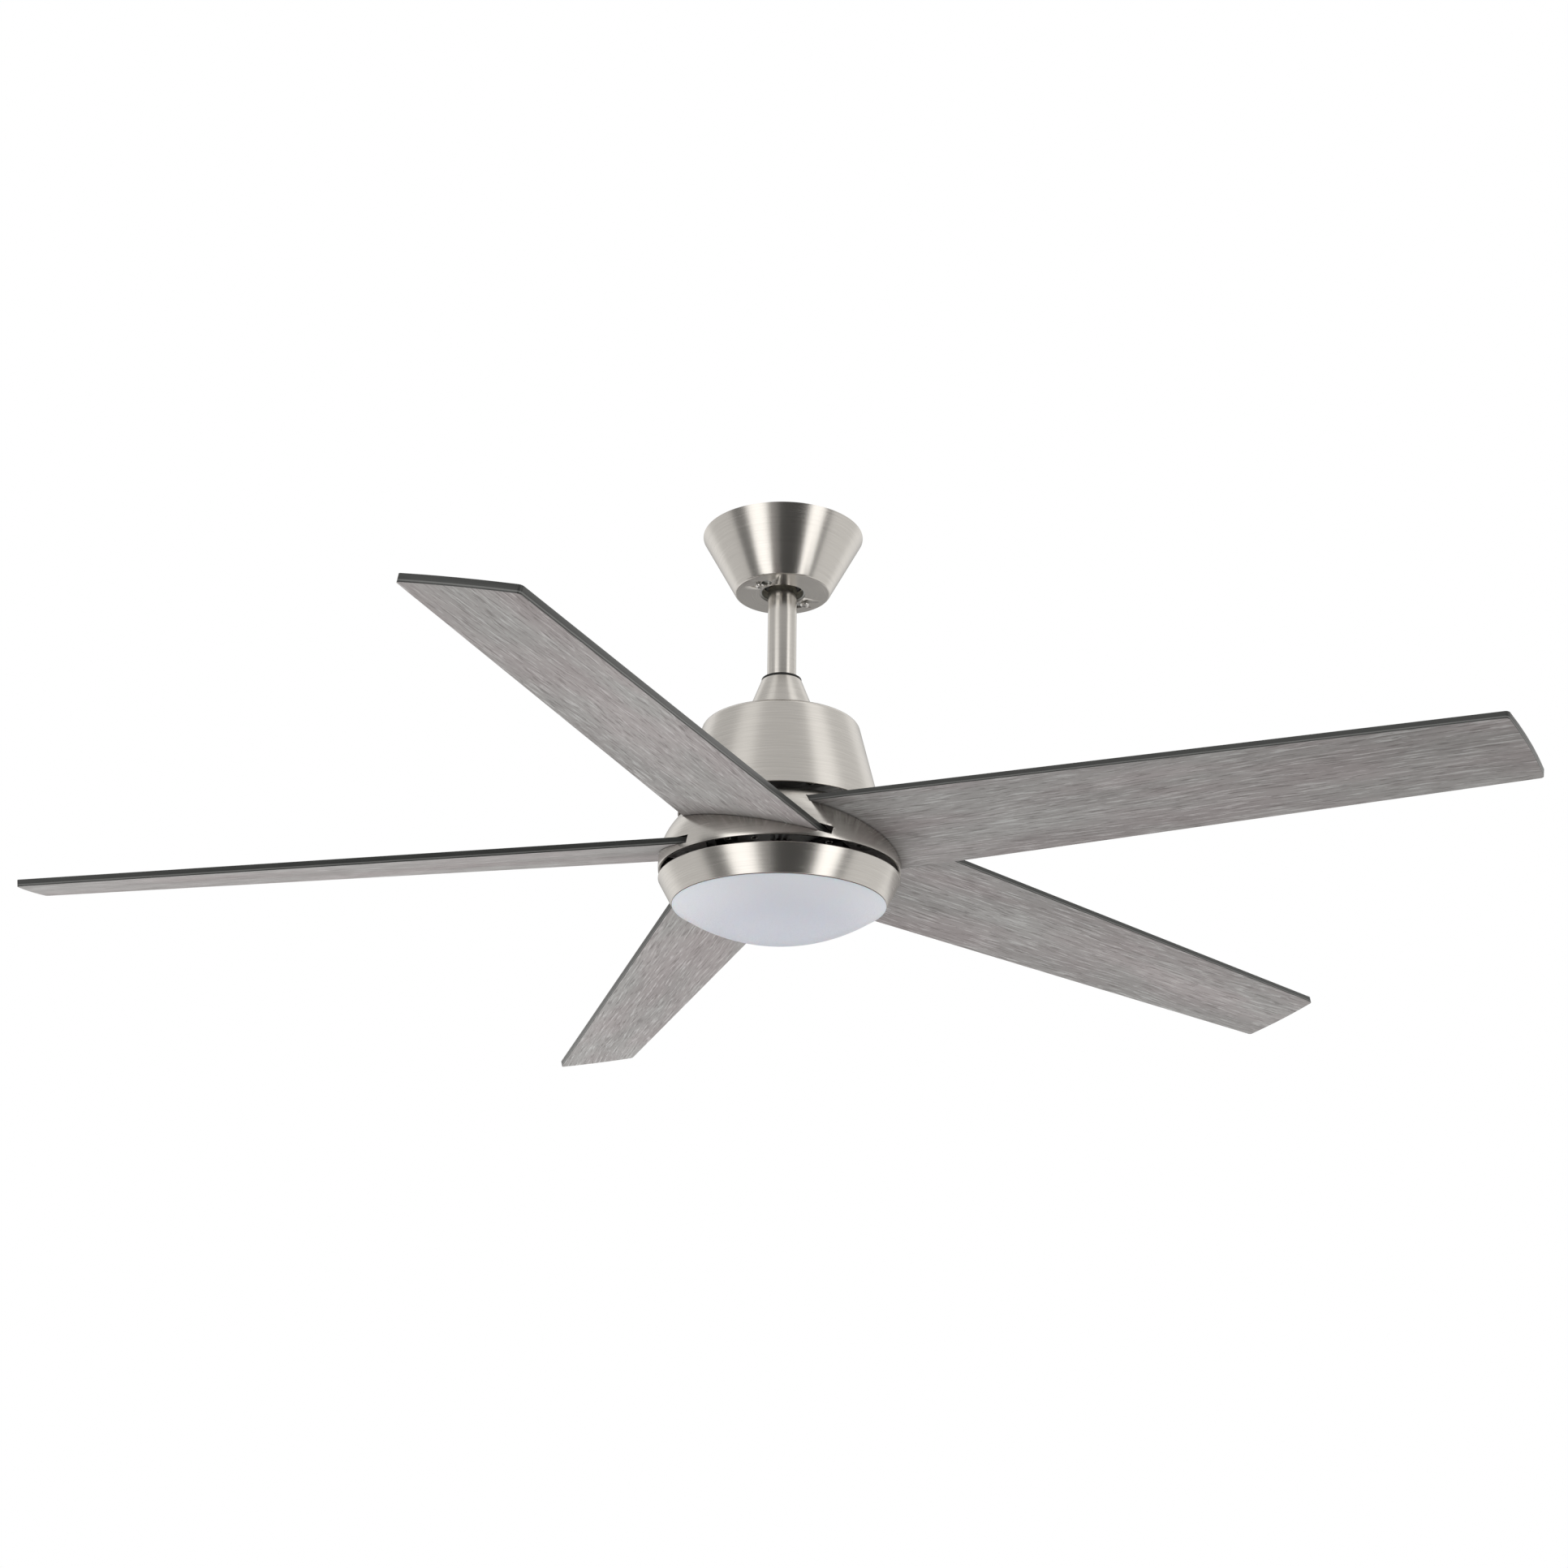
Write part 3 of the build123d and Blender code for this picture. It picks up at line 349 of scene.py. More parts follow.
# %% A workshop finish
def workshop(
    name, base, rough, metal=0.0, grain=900.0, stretch=(1, 1, 1), depth=0.1, spread=0.12, coat=0.0
):
    """A colour and gloss with grain; stretch draws the grain out along x, y or z."""
    finish = Finish(name, Metallic=metal, Coat_Weight=coat, Coat_Roughness=0.25)
    x, y, z = finish.place()
    sx, sy, sz = stretch
    grains = finish.noise(finish.vector(x * sx, y * sy, z * sz), grain, 3.0, 0.55)
    patch = finish.noise(finish.vector(x, y, z), 45.0, 3.0, 0.5)
    tone = grains * 0.6 + patch * 0.4
    dark = tuple(c * (1.0 - spread) for c in base) + (1.0,)
    light = tuple(min(1.0, c * (1.0 + spread)) for c in base) + (1.0,)
    finish.set(
        Base_Color=finish.mix(finish.ramp(tone, 0.3, 0.7), dark, light),
        Roughness=tone * 0.14 + (rough - 0.07),
        Normal=finish.bump(grains, depth, 0.0002),
    )
    return finish.material


# %% One finish for each material slot
finishes = {
    "brushed_nickel": nickel,
    "frosted_diffuser": diffuser_finish,
    "blade_oak": oak_under,
    "zinc_steel": workshop("zinc_steel", (0.60, 0.61, 0.60), 0.36, 1.0, 160.0, depth=0.05, spread=0.2),
    "screw_steel": workshop("screw_steel", (0.72, 0.71, 0.69), 0.20, 1.0, 1500.0, (1, 1, 0.2), 0.05),
    "black_plastic": workshop("black_plastic", (0.03, 0.03, 0.031), 0.55, 0.0, 1800.0, depth=0.25),
    "cream_nylon": workshop("cream_nylon", (0.72, 0.69, 0.60), 0.42, 0.0, 700.0, depth=0.05),
    "black_rubber": workshop("black_rubber", (0.018, 0.018, 0.018), 0.70, 0.0, 2600.0, depth=0.2),
    "wire_insulation": workshop("wire_insulation", (0.06, 0.06, 0.065), 0.40, 0.0, 900.0, (1, 1, 0.05)),
    "connector_orange": workshop("connector_orange", (0.75, 0.24, 0.05), 0.35, 0.0, 400.0, (4, 4, 0.1), 0.3),
    "green_screw": workshop("green_screw", (0.04, 0.30, 0.10), 0.30, 0.8, 900.0),
    "circuit_board": workshop("circuit_board", (0.02, 0.16, 0.07), 0.30, 0.0, 600.0, coat=0.4),
    "motor_steel": workshop("motor_steel", (0.26, 0.26, 0.27), 0.45, 0.9, 60.0, (0.1, 0.1, 40), 0.5),
    "copper_winding": workshop(
        "copper_winding", (0.62, 0.24, 0.09), 0.28, 0.9, 45.0, (0.3, 0.3, 30), 0.6, 0.3, coat=0.5
    ),
    "bearing_steel": workshop("bearing_steel", (0.68, 0.68, 0.69), 0.16, 1.0, 90.0, (0.1, 0.1, 20), 0.05),
    "cast_aluminium": workshop("cast_aluminium", (0.62, 0.63, 0.64), 0.50, 1.0, 1300.0, depth=0.35),
    "magnet_ferrite": workshop("magnet_ferrite", (0.07, 0.07, 0.075), 0.60, 0.2, 1200.0, depth=0.2),
    "dark_steel": workshop("dark_steel", (0.035, 0.035, 0.036), 0.42, 0.5, 1100.0, depth=0.15),
    # The white paint is greyed to 0.42: painted shade, for the light's insides that are seen in shadow
    # through the gap under the hub.
    "white_paint": workshop("white_paint", (0.42, 0.43, 0.43), 0.45, 0.0, 1000.0, depth=0.08, spread=0.06),
    "led_board_white": workshop("led_board_white", (0.83, 0.83, 0.81), 0.30, 0.0, 500.0, spread=0.04),
    "led_yellow": workshop("led_yellow", (0.86, 0.66, 0.16), 0.30, 0.0, 1500.0, coat=0.5),
}
print("finishes", len(finishes))

# %% [markdown]
# ## Rules that make repeated parts
# A fan has dozens of screws, lamp chips, bearing balls and turns of wire. Modelling each by
# hand would be slow, and changing one would mean changing all. A Geometry Nodes tree states
# the rule once: what one part looks like from a few named sizes, and how it is set on each
# seat. A seat is a point that knows which way its part faces.


# %% A rule with named sizes
class Rule(Tree):
    """A Geometry Nodes tree: seats go in, finished parts with a material come out."""

    def __init__(self, name, sizes, counts=()):
        self.group = bpy.data.node_groups.new(name, "GeometryNodeTree")
        super().__init__(self.group)
        sockets = [("Seats", "NodeSocketGeometry"), ("Material", "NodeSocketMaterial")]
        sockets += [(size, "NodeSocketFloat") for size in sizes]
        sockets += [(count, "NodeSocketInt") for count in counts]
        for label, kind in sockets:
            self.group.interface.new_socket(label, in_out="INPUT", socket_type=kind)
        self.group.interface.new_socket("Parts", in_out="OUTPUT", socket_type="NodeSocketGeometry")
        start = self.nodes.new("NodeGroupInput")
        self.given = {socket.name: Value(self, socket) for socket in start.outputs if socket.name}

    def move(self, shape, x=0.0, y=0.0, z=0.0):
        offset = self.vector(x, y, z)
        return self.node("GeometryNodeTransform", inputs={"Geometry": shape, "Translation": offset})

    def reshape(self, shape, position):
        return self.node("GeometryNodeSetPosition", inputs={"Geometry": shape, "Position": position})

    def block(self, x, y, z):
        return self.node("GeometryNodeMeshCube", inputs={"Size": self.vector(x, y, z)})

    def boolean(self, operation, first, second):
        settings = {"operation": operation, "solver": "EXACT"}
        if operation == "DIFFERENCE":
            return self.node("GeometryNodeMeshBoolean", settings, {0: first, 1: second})
        united = self.node("GeometryNodeMeshBoolean", settings, {1: first})
        self.links.new(second.socket, united.socket.node.inputs[1])
        return united

    def together(self, *shapes):
        joined = self.nodes.new("GeometryNodeJoinGeometry")
        for shape in shapes:
            self.links.new(shape.socket, joined.inputs[0])
        return Value(self, joined.outputs[0])

    def facing(self):
        """A turn that points a part's z along its seat's axis and its x away from the fan's."""
        axis = self.node("GeometryNodeInputNamedAttribute", {"data_type": "FLOAT_VECTOR"}, {0: "axis"})
        outward = self.node("GeometryNodeInputPosition")
        aim = self.node("FunctionNodeAlignRotationToVector", {"axis": "Z"}, {"Vector": axis})
        settings = {"axis": "X", "pivot_axis": "Z"}
        return self.node("FunctionNodeAlignRotationToVector", settings, {"Rotation": aim, "Vector": outward})

    def on_seats(self, part):
        sockets = {"Points": self.given["Seats"], "Instance": part, "Rotation": self.facing()}
        return self.node("GeometryNodeInstanceOnPoints", inputs=sockets)

    def finish(self, shapes):
        real = self.node("GeometryNodeRealizeInstances", inputs={"Geometry": shapes})
        sockets = {"Geometry": real, "Material": self.given["Material"]}
        coated = self.node("GeometryNodeSetMaterial", inputs=sockets)
        end = self.nodes.new("NodeGroupOutput")
        self.links.new(coated.socket, end.inputs[0])

    def make(self, name, seats, material, **sizes):
        """Apply the rule to a mesh of seats and keep the result as a plain mesh."""
        values = {key.replace("_", " "): value for key, value in sizes.items()} | {"Material": material}
        piece = add_object(name, seats)
        modifier = piece.modifiers.new("rule", "NODES")
        modifier.node_group = self.group
        for item in self.group.interface.items_tree:
            if item.in_out == "INPUT" and item.name in values:
                modifier[item.identifier] = values[item.name]
        return bake(piece)


# %% Find the separate parts of a node, and their seats
def islands(node):
    """The points of each separate solid in one of the model's nodes."""
    form = bmesh.new()
    form.from_mesh(nodes[node].data)
    bmesh.ops.remove_doubles(form, verts=form.verts, dist=1e-6)
    left, groups = set(form.verts), []
    while left:
        edge = [min(left, key=lambda v: v.index)]
        left -= set(edge)
        group = []
        while edge:
            vert = edge.pop()
            group.append(vert.co.copy())
            near = {e.other_vert(vert) for e in vert.link_edges} & left
            left -= near
            edge.extend(near)
        groups.append(group)
        form.verts.index_update()
    form.free()
    return groups


def middle(points):
    low = Vector(min(p[i] for p in points) for i in range(3))
    high = Vector(max(p[i] for p in points) for i in range(3))
    return (low + high) / 2


def seat_mesh(name, places):
    """A mesh of loose points, each with the direction that its part faces."""
    mesh = bpy.data.meshes.new(name)
    mesh.from_pydata([place for place, _ in places], [], [])
    axis = mesh.attributes.new("axis", "FLOAT_VECTOR", "POINT")
    for item, (_, direction) in zip(axis.data, places):
        item.vector = direction
    return mesh


# %% [markdown]
# ## Directions and measured sizes
# The blades droop a little and are pitched like propellers, so nothing on them is square to
# the fan's axes. A function gives each blade's own directions, for its grain and its screws.
# A screw's sizes are measured on the working model: its wide end is the head.

# %% The blades' angles
blade_count, first_azimuth = 5, -108.5
blade_step = 360 / blade_count
droop, pitch = math.radians(4.2), math.radians(12.5)


def blade_axes(azimuth):
    """Unit vectors along a blade, across it and out of its upper face."""
    a = math.radians(azimuth)
    along = Vector((math.cos(a) * math.cos(droop), math.sin(a) * math.cos(droop), -math.sin(droop)))
    side = Vector((-math.sin(a) * math.cos(pitch), math.cos(a) * math.cos(pitch), -math.sin(pitch)))
    up = along.cross(side).normalized()
    return along, up.cross(along), up


# %% Measure a screw
def screw_line(node, centre):
    """The line that a screw lies along: upright, or square to its own blade."""
    if node != "blade_screws":
        return Vector((0, 0, 1))
    bearing = math.degrees(math.atan2(centre.y, centre.x))
    steps = round((first_azimuth - bearing) / blade_step)
    return blade_axes(first_azimuth - blade_step * steps)[2]


def screw_sizes(node, points):
    """Where a screw's head sits, which way it faces, and its four sizes."""
    centre = middle(points)
    axis = screw_line(node, centre)
    heights = [(p - centre).dot(axis) for p in points]
    reach = [((p - centre) - axis * h).length for p, h in zip(points, heights)]
    widest = max(reach)
    if max(h for r, h in zip(reach, heights) if r > widest * 0.99) < 0:
        axis, heights = -axis, [-h for h in heights]
    end, crown = min(heights), max(heights)
    shank = max(r for r, h in zip(reach, heights) if h < end + 0.0002)
    under = min(h for r, h in zip(reach, heights) if r > shank * 1.3)
    sizes = {"Head_Radius": widest, "Head_Height": crown - under}
    sizes |= {"Shank_Radius": shank, "Length": under - end}
    return (centre + axis * under, axis), sizes


print("rules ready")

# %% [markdown]
# ## Real surfaces for the model's pieces
# The working model is made of loose triangles. A copy with its points joined can be shaded
# smooth, and its sharp edges can be eased, which is what catches light on a real pressing.


# %% Copy a piece, join it and ease its edges
def eased(node, bevel=0.0, smooth=35.0, tidy=False):
    """A finished copy of a model's piece, with joined points and softened edges."""
    mesh = nodes[node].data.copy()
    form = bmesh.new()
    form.from_mesh(mesh)
    bmesh.ops.remove_doubles(form, verts=form.verts, dist=1e-6)
    if tidy:
        bmesh.ops.dissolve_limit(form, angle_limit=math.radians(0.5), verts=form.verts, edges=form.edges)
    form.to_mesh(mesh)
    form.free()
    mesh.materials.clear()
    piece = add_object(f"{node}_finished", mesh)
    if bevel:
        ease = piece.modifiers.new("ease", "BEVEL")
        ease.width = bevel
        ease.segments = 2
        ease.limit_method = "ANGLE"
        ease.angle_limit = math.radians(smooth)
        ease.use_clamp_overlap = True
        return bake(piece, smooth)
    return shade(piece, smooth)


def hand_over(piece, node, *materials):
    """Give a finished piece its materials and let it stand for its model's piece."""
    piece.data.materials.clear()
    for material in materials:
        piece.data.materials.append(material)
    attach(piece, body_of[node])
    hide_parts(node)
    return piece


# %% [markdown]
# ## Turned parts
# The housing, covers and rod are turned, and so is the diffuser's mould, so each of them is
# one outline spun round the axis. A fine outline gives a round wall and small, even edges.


# %% Spin an outline round the axis
def rounded(outline, arc_steps=6):
    """A closed outline of (radius, height, corner radius) with its corners as arcs."""
    points = []
    count = len(outline)
    for i, (r, z, corner) in enumerate(outline):
        here = Vector((r, z))
        if corner <= 0.0:
            points.append(here)
            continue
        back = (Vector(outline[i - 1][:2]) - here).normalized()
        ahead = (Vector(outline[(i + 1) % count][:2]) - here).normalized()
        half = back.angle(ahead) / 2
        reach = corner / math.tan(half)
        centre = here + (back + ahead).normalized() * (corner / math.sin(half))
        start = here + back * reach - centre
        end = here + ahead * reach - centre
        turn = start.angle_signed(end)
        for step in range(arc_steps + 1):
            a = -turn * step / arc_steps
            points.append(centre + Vector((start.x * math.cos(a) - start.y * math.sin(a),
                                           start.x * math.sin(a) + start.y * math.cos(a))))
    return points


def spun(name, points, steps=192):
    """A closed outline of points, turned once round the fan's axis."""
    mesh = bpy.data.meshes.new(name)
    form = bmesh.new()
    rings = []
    for step in range(steps):
        a = 2 * math.pi * step / steps
        rings.append([form.verts.new((p.x * math.cos(a), p.x * math.sin(a), p.y)) for p in points])
    for step in range(steps):
        here, following = rings[step], rings[(step + 1) % steps]
        for i in range(len(points)):
            j = (i + 1) % len(points)
            form.faces.new((here[i], following[i], following[j], here[j]))
    bmesh.ops.remove_doubles(form, verts=form.verts, dist=1e-7)
    bmesh.ops.recalc_face_normals(form, faces=form.faces)
    form.to_mesh(mesh)
    form.free()
    return shade(add_object(name, mesh))


# %% [markdown]
# ## Holes, notches and tabs
# Not everything on a turned part is round. The housing and the light's pan are drilled for
# screws, the pan's lip is notched in three places, and the diffuser's three tabs rise through
# the notches and turn to lock. Each is a bar or a block at a seat, which a boolean then takes
# away from the turned part or adds to it, as a drill, a mill or a mould would.

# %% Rules for bars and blocks
block_rule = Rule("block_at_seat", ("Depth", "Width", "Height"))
given = block_rule.given
block_rule.finish(block_rule.on_seats(block_rule.block(given["Depth"], given["Width"], given["Height"])))
bar_rule = Rule("bar_at_seat", ("Radius", "Length"), ("Sides",))
given = bar_rule.given
bar_sockets = {"Vertices": given["Sides"], "Radius": given["Radius"], "Depth": given["Length"]}
bar_rule.finish(bar_rule.on_seats(bar_rule.node("GeometryNodeMeshCylinder", inputs=bar_sockets)))


# %% Drill holes, cut notches and add tabs
def combine(piece, tool, operation):
    """Take a tool's shape from a piece, or add it to the piece."""
    change = piece.modifiers.new("combine", "BOOLEAN")
    change.operation = operation
    change.solver = "EXACT"
    change.object = tool
    bake(piece)
    bpy.data.objects.remove(tool)


def drill(piece, screws):
    """Drill a piece where a group of the model's upright screws passes through it."""
    drill_length, room = 0.006, 0.00015
    measured = [screw_sizes(screws, points) for points in islands(screws)]
    seats = seat_mesh("drill_seats", [place for place, _ in measured])
    radius = measured[-1][1]["Shank_Radius"] + room
    tool = bar_rule.make("drill", seats, nickel, Radius=radius, Length=drill_length, Sides=32)
    combine(piece, tool, "DIFFERENCE")
    print(screws, len(measured), "holes of", round(radius * 2000, 2), "mm")


def blocks_round(radius, height, angles, size):
    """Blocks set on a circle round the fan's axis, each with its depth pointing outward."""
    places = [(Vector((radius * math.cos(a), radius * math.sin(a), height)), (0, 0, 1)) for a in angles]
    depth, width, tall = size
    seats = seat_mesh("block_seats", places)
    return block_rule.make("blocks", seats, nickel, Depth=depth, Width=width, Height=tall)


def span(node):
    """Outer radius, top and bottom of a model's piece, from its box."""
    low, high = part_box(node)
    return (high.x - low.x) / 2, high.z, low.z


# %% The downrod, the yoke cover and its rubber ring
rod_r, rod_top, rod_bottom = span("downrod")
rod_wall = 0.0023
downrod = spun("downrod_finished", rounded([
    (rod_r, rod_top, 0.0004), (rod_r, rod_bottom, 0.0004),
    (rod_r - rod_wall, rod_bottom, 0.0003), (rod_r - rod_wall, rod_top, 0.0003),
]))
hand_over(downrod, "downrod", rod_nickel)
cover_r, cover_top, cover_bottom = span("yoke_cover")
cover_top_r = 0.0186
rod_fit = rod_r + 0.00005
cover_wall = 0.0012
yoke_cover = spun("yoke_cover_finished", rounded([
    (rod_fit, cover_top, 0.0), (cover_top_r, cover_top, 0.0009), (cover_r, cover_bottom, 0.0003),
    (cover_r - 0.0013, cover_bottom, 0.0), (cover_top_r - 0.0009, cover_top - cover_wall, 0.0),
    (rod_fit, cover_top - cover_wall, 0.0),
]))
hand_over(yoke_cover, "yoke_cover", nickel)
ring_r, ring_top, ring_bottom = span("yoke_ring")
yoke_ring = spun("yoke_ring_finished", rounded([
    (rod_fit, ring_top, 0.0004), (ring_r, ring_top, 0.0008),
    (ring_r, ring_bottom, 0.0003), (rod_fit, ring_bottom, 0.0),
]))
hand_over(yoke_ring, "yoke_ring", finishes["black_rubber"])
print("rod and yoke cover spun")

# %% The motor housing
housing_r, housing_top, housing_bottom = span("motor_housing")
housing_top_r, housing_hole = 0.071, 0.0171
# The side wall leans, so it is a little thicker when it is measured level.
housing_wall, housing_level_wall = 0.0015, 0.00153
housing_slope = (housing_r - housing_top_r) / (housing_top - housing_bottom)
housing_roof_r = housing_top_r - housing_level_wall + housing_slope * housing_wall
motor_housing = spun("motor_housing_finished", rounded([
    (housing_hole, housing_top, 0.0), (housing_top_r, housing_top, 0.006),
    (housing_r, housing_bottom, 0.0005),
    (housing_r - housing_wall, housing_bottom, 0.0004),
    (housing_roof_r, housing_top - housing_wall, 0.0045),
    (housing_hole, housing_top - housing_wall, 0.0),
]))
drill(motor_housing, "housing_screws")
hand_over(motor_housing, "motor_housing", nickel)

# %% The light band
band_r, band_top, band_bottom = span("light_pan")
band_low_r, pan_bore, pan_top = 0.0953, 0.020, 0.002
lip_r, lip = 0.0914, 0.0015
light_pan = spun("light_pan_finished", rounded([
    (pan_bore, band_top, 0.0), (band_r, band_top, 0.0007), (band_low_r, band_bottom, 0.0005),
    (lip_r, band_bottom, 0.0003), (lip_r, band_bottom + lip, 0.0003),
    (band_low_r - 0.0009, band_bottom + lip, 0.0), (band_r - 0.0028, band_top - pan_top, 0.0),
    (pan_bore, band_top - pan_top, 0.0),
]))
drill(light_pan, "pan_screws")
# The diffuser's tabs rise through the notches and then turn 20 degrees to lock.
collar_r, tab_reach, tab_turn = 0.0910, 0.0025, 20.0
tab_width, notch_width, tab_room = 0.014, 0.016, 0.0004
around = [math.radians(angle) for angle in (0.0, 120.0, 240.0)]
notch_r, notch_size = collar_r + tab_reach / 2, (tab_reach + tab_room, notch_width, 2 * lip)
turned_back = [angle - math.radians(tab_turn) for angle in around]
combine(light_pan, blocks_round(notch_r, band_bottom, turned_back, notch_size), "DIFFERENCE")
hand_over(light_pan, "light_pan", nickel)


# %% The diffuser
def dome(radius, apex, rim, count):
    """Points of a shallow dome from its apex out to its rim."""
    sag = rim - apex
    curve = (radius**2 + sag**2) / (2 * sag)
    shares = [i / count for i in range(count + 1)]
    return [Vector((radius * s, rim - math.sqrt(curve**2 - (radius * s) ** 2) + curve - sag)) for s in shares]


dome_r, collar_top, dome_apex = span("diffuser")
rim_z = band_bottom - 0.0003
dome_wall, rim_edge = 0.0020, 0.0005
outer = dome(dome_r, dome_apex, rim_z, 40)
outer[-1] = Vector((dome_r - rim_edge * 0.3, rim_z - rim_edge))
edge = [Vector((dome_r, rim_z - rim_edge * 0.5)), Vector((dome_r - rim_edge * 0.6, rim_z))]
collar_points = [(collar_r, rim_z), (collar_r, collar_top), (collar_r - dome_wall, collar_top)]
collar = [Vector(point) for point in collar_points]
inner = list(reversed(dome(collar_r - dome_wall, dome_apex + dome_wall, rim_z, 30)))
diffuser = spun("diffuser_finished", outer + edge + collar + inner)
tab_low, tab_high = band_bottom + lip + tab_room, collar_top - 0.0001
tab_size = (tab_reach + tab_room, tab_width, tab_high - tab_low)
tabs = blocks_round(collar_r + tab_reach / 2 - 0.0003, (tab_low + tab_high) / 2, around, tab_size)
combine(diffuser, tabs, "UNION")
hand_over(diffuser, "diffuser", diffuser_finish)
print("housing, band and diffuser spun")

# %% The pressed parts keep the model's own shape
hub_ring = eased("hub_ring", bevel=0.0004, smooth=40.0)
hand_over(hub_ring, "hub_ring", nickel)
canopy = eased("canopy", smooth=40.0)
hand_over(canopy, "canopy", nickel)

# %% [markdown]
# ## Blades
# Each blade is a flat board with square, dark edges. Its faces carry the oak and its rim
# the edge band, so the copy gets a map laid along the blade and a material for each side.

# %% Map and finish the five blades
# Each blade's level of painted light and shade, from the blade nearest the camera and on round the fan.
board_light_levels = (1.08, 1.10, 1.02, 0.93, 0.87)
for number in range(1, blade_count + 1):
    node = f"blade_{number}"
    along, across, up = blade_axes(first_azimuth - blade_step * (number - 1))
    blade = eased(node, bevel=0.0005, smooth=30.0, tidy=True)
    mesh = blade.data
    grain = mesh.uv_layers.new(name="grain")
    # The tone attribute carries the blade's level of painted light and shade.
    tone = mesh.attributes.new("tone", "FLOAT", "FACE")
    tone.data.foreach_set("value", [board_light_levels[number - 1]] * len(mesh.polygons))
    shift = 3.7 * number
    heights = [vertex.co.dot(up) for vertex in mesh.vertices]
    bottom, thickness = min(heights), max(heights) - min(heights)
    hand_over(blade, node, oak_under, oak_over, edge_finish)
    for face in mesh.polygons:
        lean = face.normal.dot(up)
        face.material_index = 0 if lean < -0.9 else 1 if lean > 0.9 else 2
        for loop in face.loop_indices:
            point = mesh.vertices[mesh.loops[loop].vertex_index].co
            run, width = point.dot(along), point.dot(across)
            share = (point.dot(up) - bottom) / thickness
            on_edge = face.material_index == 2
            grain.data[loop].uv = (run + width, share) if on_edge else (run + shift, width + 0.5 * number)
    print(node, len(mesh.polygons), "faces")

# %% [markdown]
# ## Screws
# The fan is held together by pan-head screws with a cross recess. Every group has its own
# length and head, but they all follow one rule, so one tree makes them all. A seed turns
# each screw's cross by its own amount, as a screwdriver leaves it.

# %% The rule for a pan-head screw
screw_lengths = ("Head Radius", "Head Height", "Shank Radius", "Length")
screw_rule = Rule("pan_head_screw", screw_lengths, ("Sides", "Seed"))
given = screw_rule.given
head = screw_rule.node("GeometryNodeMeshCylinder", inputs={
    "Vertices": given["Sides"], "Side Segments": 6,
    "Radius": given["Head Radius"], "Depth": given["Head Height"],
})
head = screw_rule.move(head, z=given["Head Height"] * 0.5)
x, y, z = screw_rule.parts(screw_rule.node("GeometryNodeInputPosition"))
# The head draws in towards its crown, slowly at first and then fast.
crown = (1.0 - (z / given["Head Height"] * 0.9) ** 3.0) ** 0.5
head = screw_rule.reshape(head, screw_rule.vector(x * crown, y * crown, z))
overlap = given["Head Height"] * 0.2
shank = screw_rule.node("GeometryNodeMeshCylinder", inputs={
    "Vertices": given["Sides"], "Radius": given["Shank Radius"], "Depth": given["Length"] + overlap,
})
shank = screw_rule.move(shank, z=(overlap - given["Length"]) * 0.5)
screw = screw_rule.boolean("UNION", head, shank)
long_side, short_side = given["Head Radius"] * 1.1, given["Head Radius"] * 0.24
for wide, deep in ((long_side, short_side), (short_side, long_side)):
    slot = screw_rule.block(wide, deep, given["Head Height"])
    screw = screw_rule.boolean("DIFFERENCE", screw, screw_rule.move(slot, z=given["Head Height"] * 0.95))
placed = screw_rule.on_seats(screw)
sockets = {2: 0.0, 3: math.pi, "Seed": given["Seed"]}
spin = screw_rule.node("FunctionNodeRandomValue", {"data_type": "FLOAT"}, sockets, output=1)
sockets = {"Instances": placed, "Rotation": screw_rule.vector(0.0, 0.0, spin)}
screw_rule.finish(screw_rule.node("GeometryNodeRotateInstances", inputs=sockets))


# %% Make every group of screws
screw_groups = ["canopy_screws", "ground_screw", "housing_screws", "rotor_screws", "hub_screws"]
screw_groups += ["carrier_screws", "blade_screws", "pan_screws"]
for number, node in enumerate(screw_groups):
    measured = [screw_sizes(node, points) for points in islands(node)]
    seats = seat_mesh(f"{node}_seats", [place for place, _ in measured])
    material, sizes = finishes[slots[node]], measured[0][1]
    screws = screw_rule.make(f"{node}_finished", seats, material, Sides=28, Seed=number, **sizes)
    hand_over(screws, node, material)
    print(node, len(measured), {key: round(value * 1000, 2) for key, value in sizes.items()}, "mm")

# %% [markdown]
# ## Bearing balls and lamp chips
# Two bearings carry nine balls each, and the board under the diffuser carries rings of
# small lamps. Both are one shape repeated on a circle, so both rules are short.

# %% Balls
ball_rule = Rule("bearing_ball", ("Radius",), ("Segments",))
given = ball_rule.given
ball_sockets = {"Segments": given["Segments"], "Radius": given["Radius"]}
ball = ball_rule.node("GeometryNodeMeshUVSphere", inputs=ball_sockets)
ball_rule.finish(ball_rule.on_seats(ball))
balls = islands("bearing_balls")
ball_radius = max((p - middle(balls[0])).length for p in balls[0])
seats = seat_mesh("ball_seats", [(middle(points), (0, 0, 1)) for points in balls])
material = finishes[slots["bearing_balls"]]
rolling = ball_rule.make("bearing_balls_finished", seats, material, Radius=ball_radius, Segments=20)
hand_over(rolling, "bearing_balls", material)
print("balls", len(balls), "of", round(ball_radius * 2000, 2), "mm")

# %% Lamp chips, each a tapered body with a low lens
chip_rule = Rule("lamp_chip", ("Length", "Width", "Height"), ())
given = chip_rule.given
body_height = given["Height"] * 0.7
body = chip_rule.block(given["Length"], given["Width"], body_height)
body = chip_rule.move(body, z=body_height * 0.5)
x, y, z = chip_rule.parts(chip_rule.node("GeometryNodeInputPosition"))
taper = 1.0 - z / given["Height"] * 0.2
body = chip_rule.reshape(body, chip_rule.vector(x * taper, y * taper, z))
lens = chip_rule.node("GeometryNodeMeshUVSphere", inputs={"Segments": 10, "Rings": 6, "Radius": 1.0})
x, y, z = chip_rule.parts(chip_rule.node("GeometryNodeInputPosition"))
lens_width = given["Width"] * 0.36
lens_height = z * (given["Height"] * 0.4) + given["Height"] * 0.6
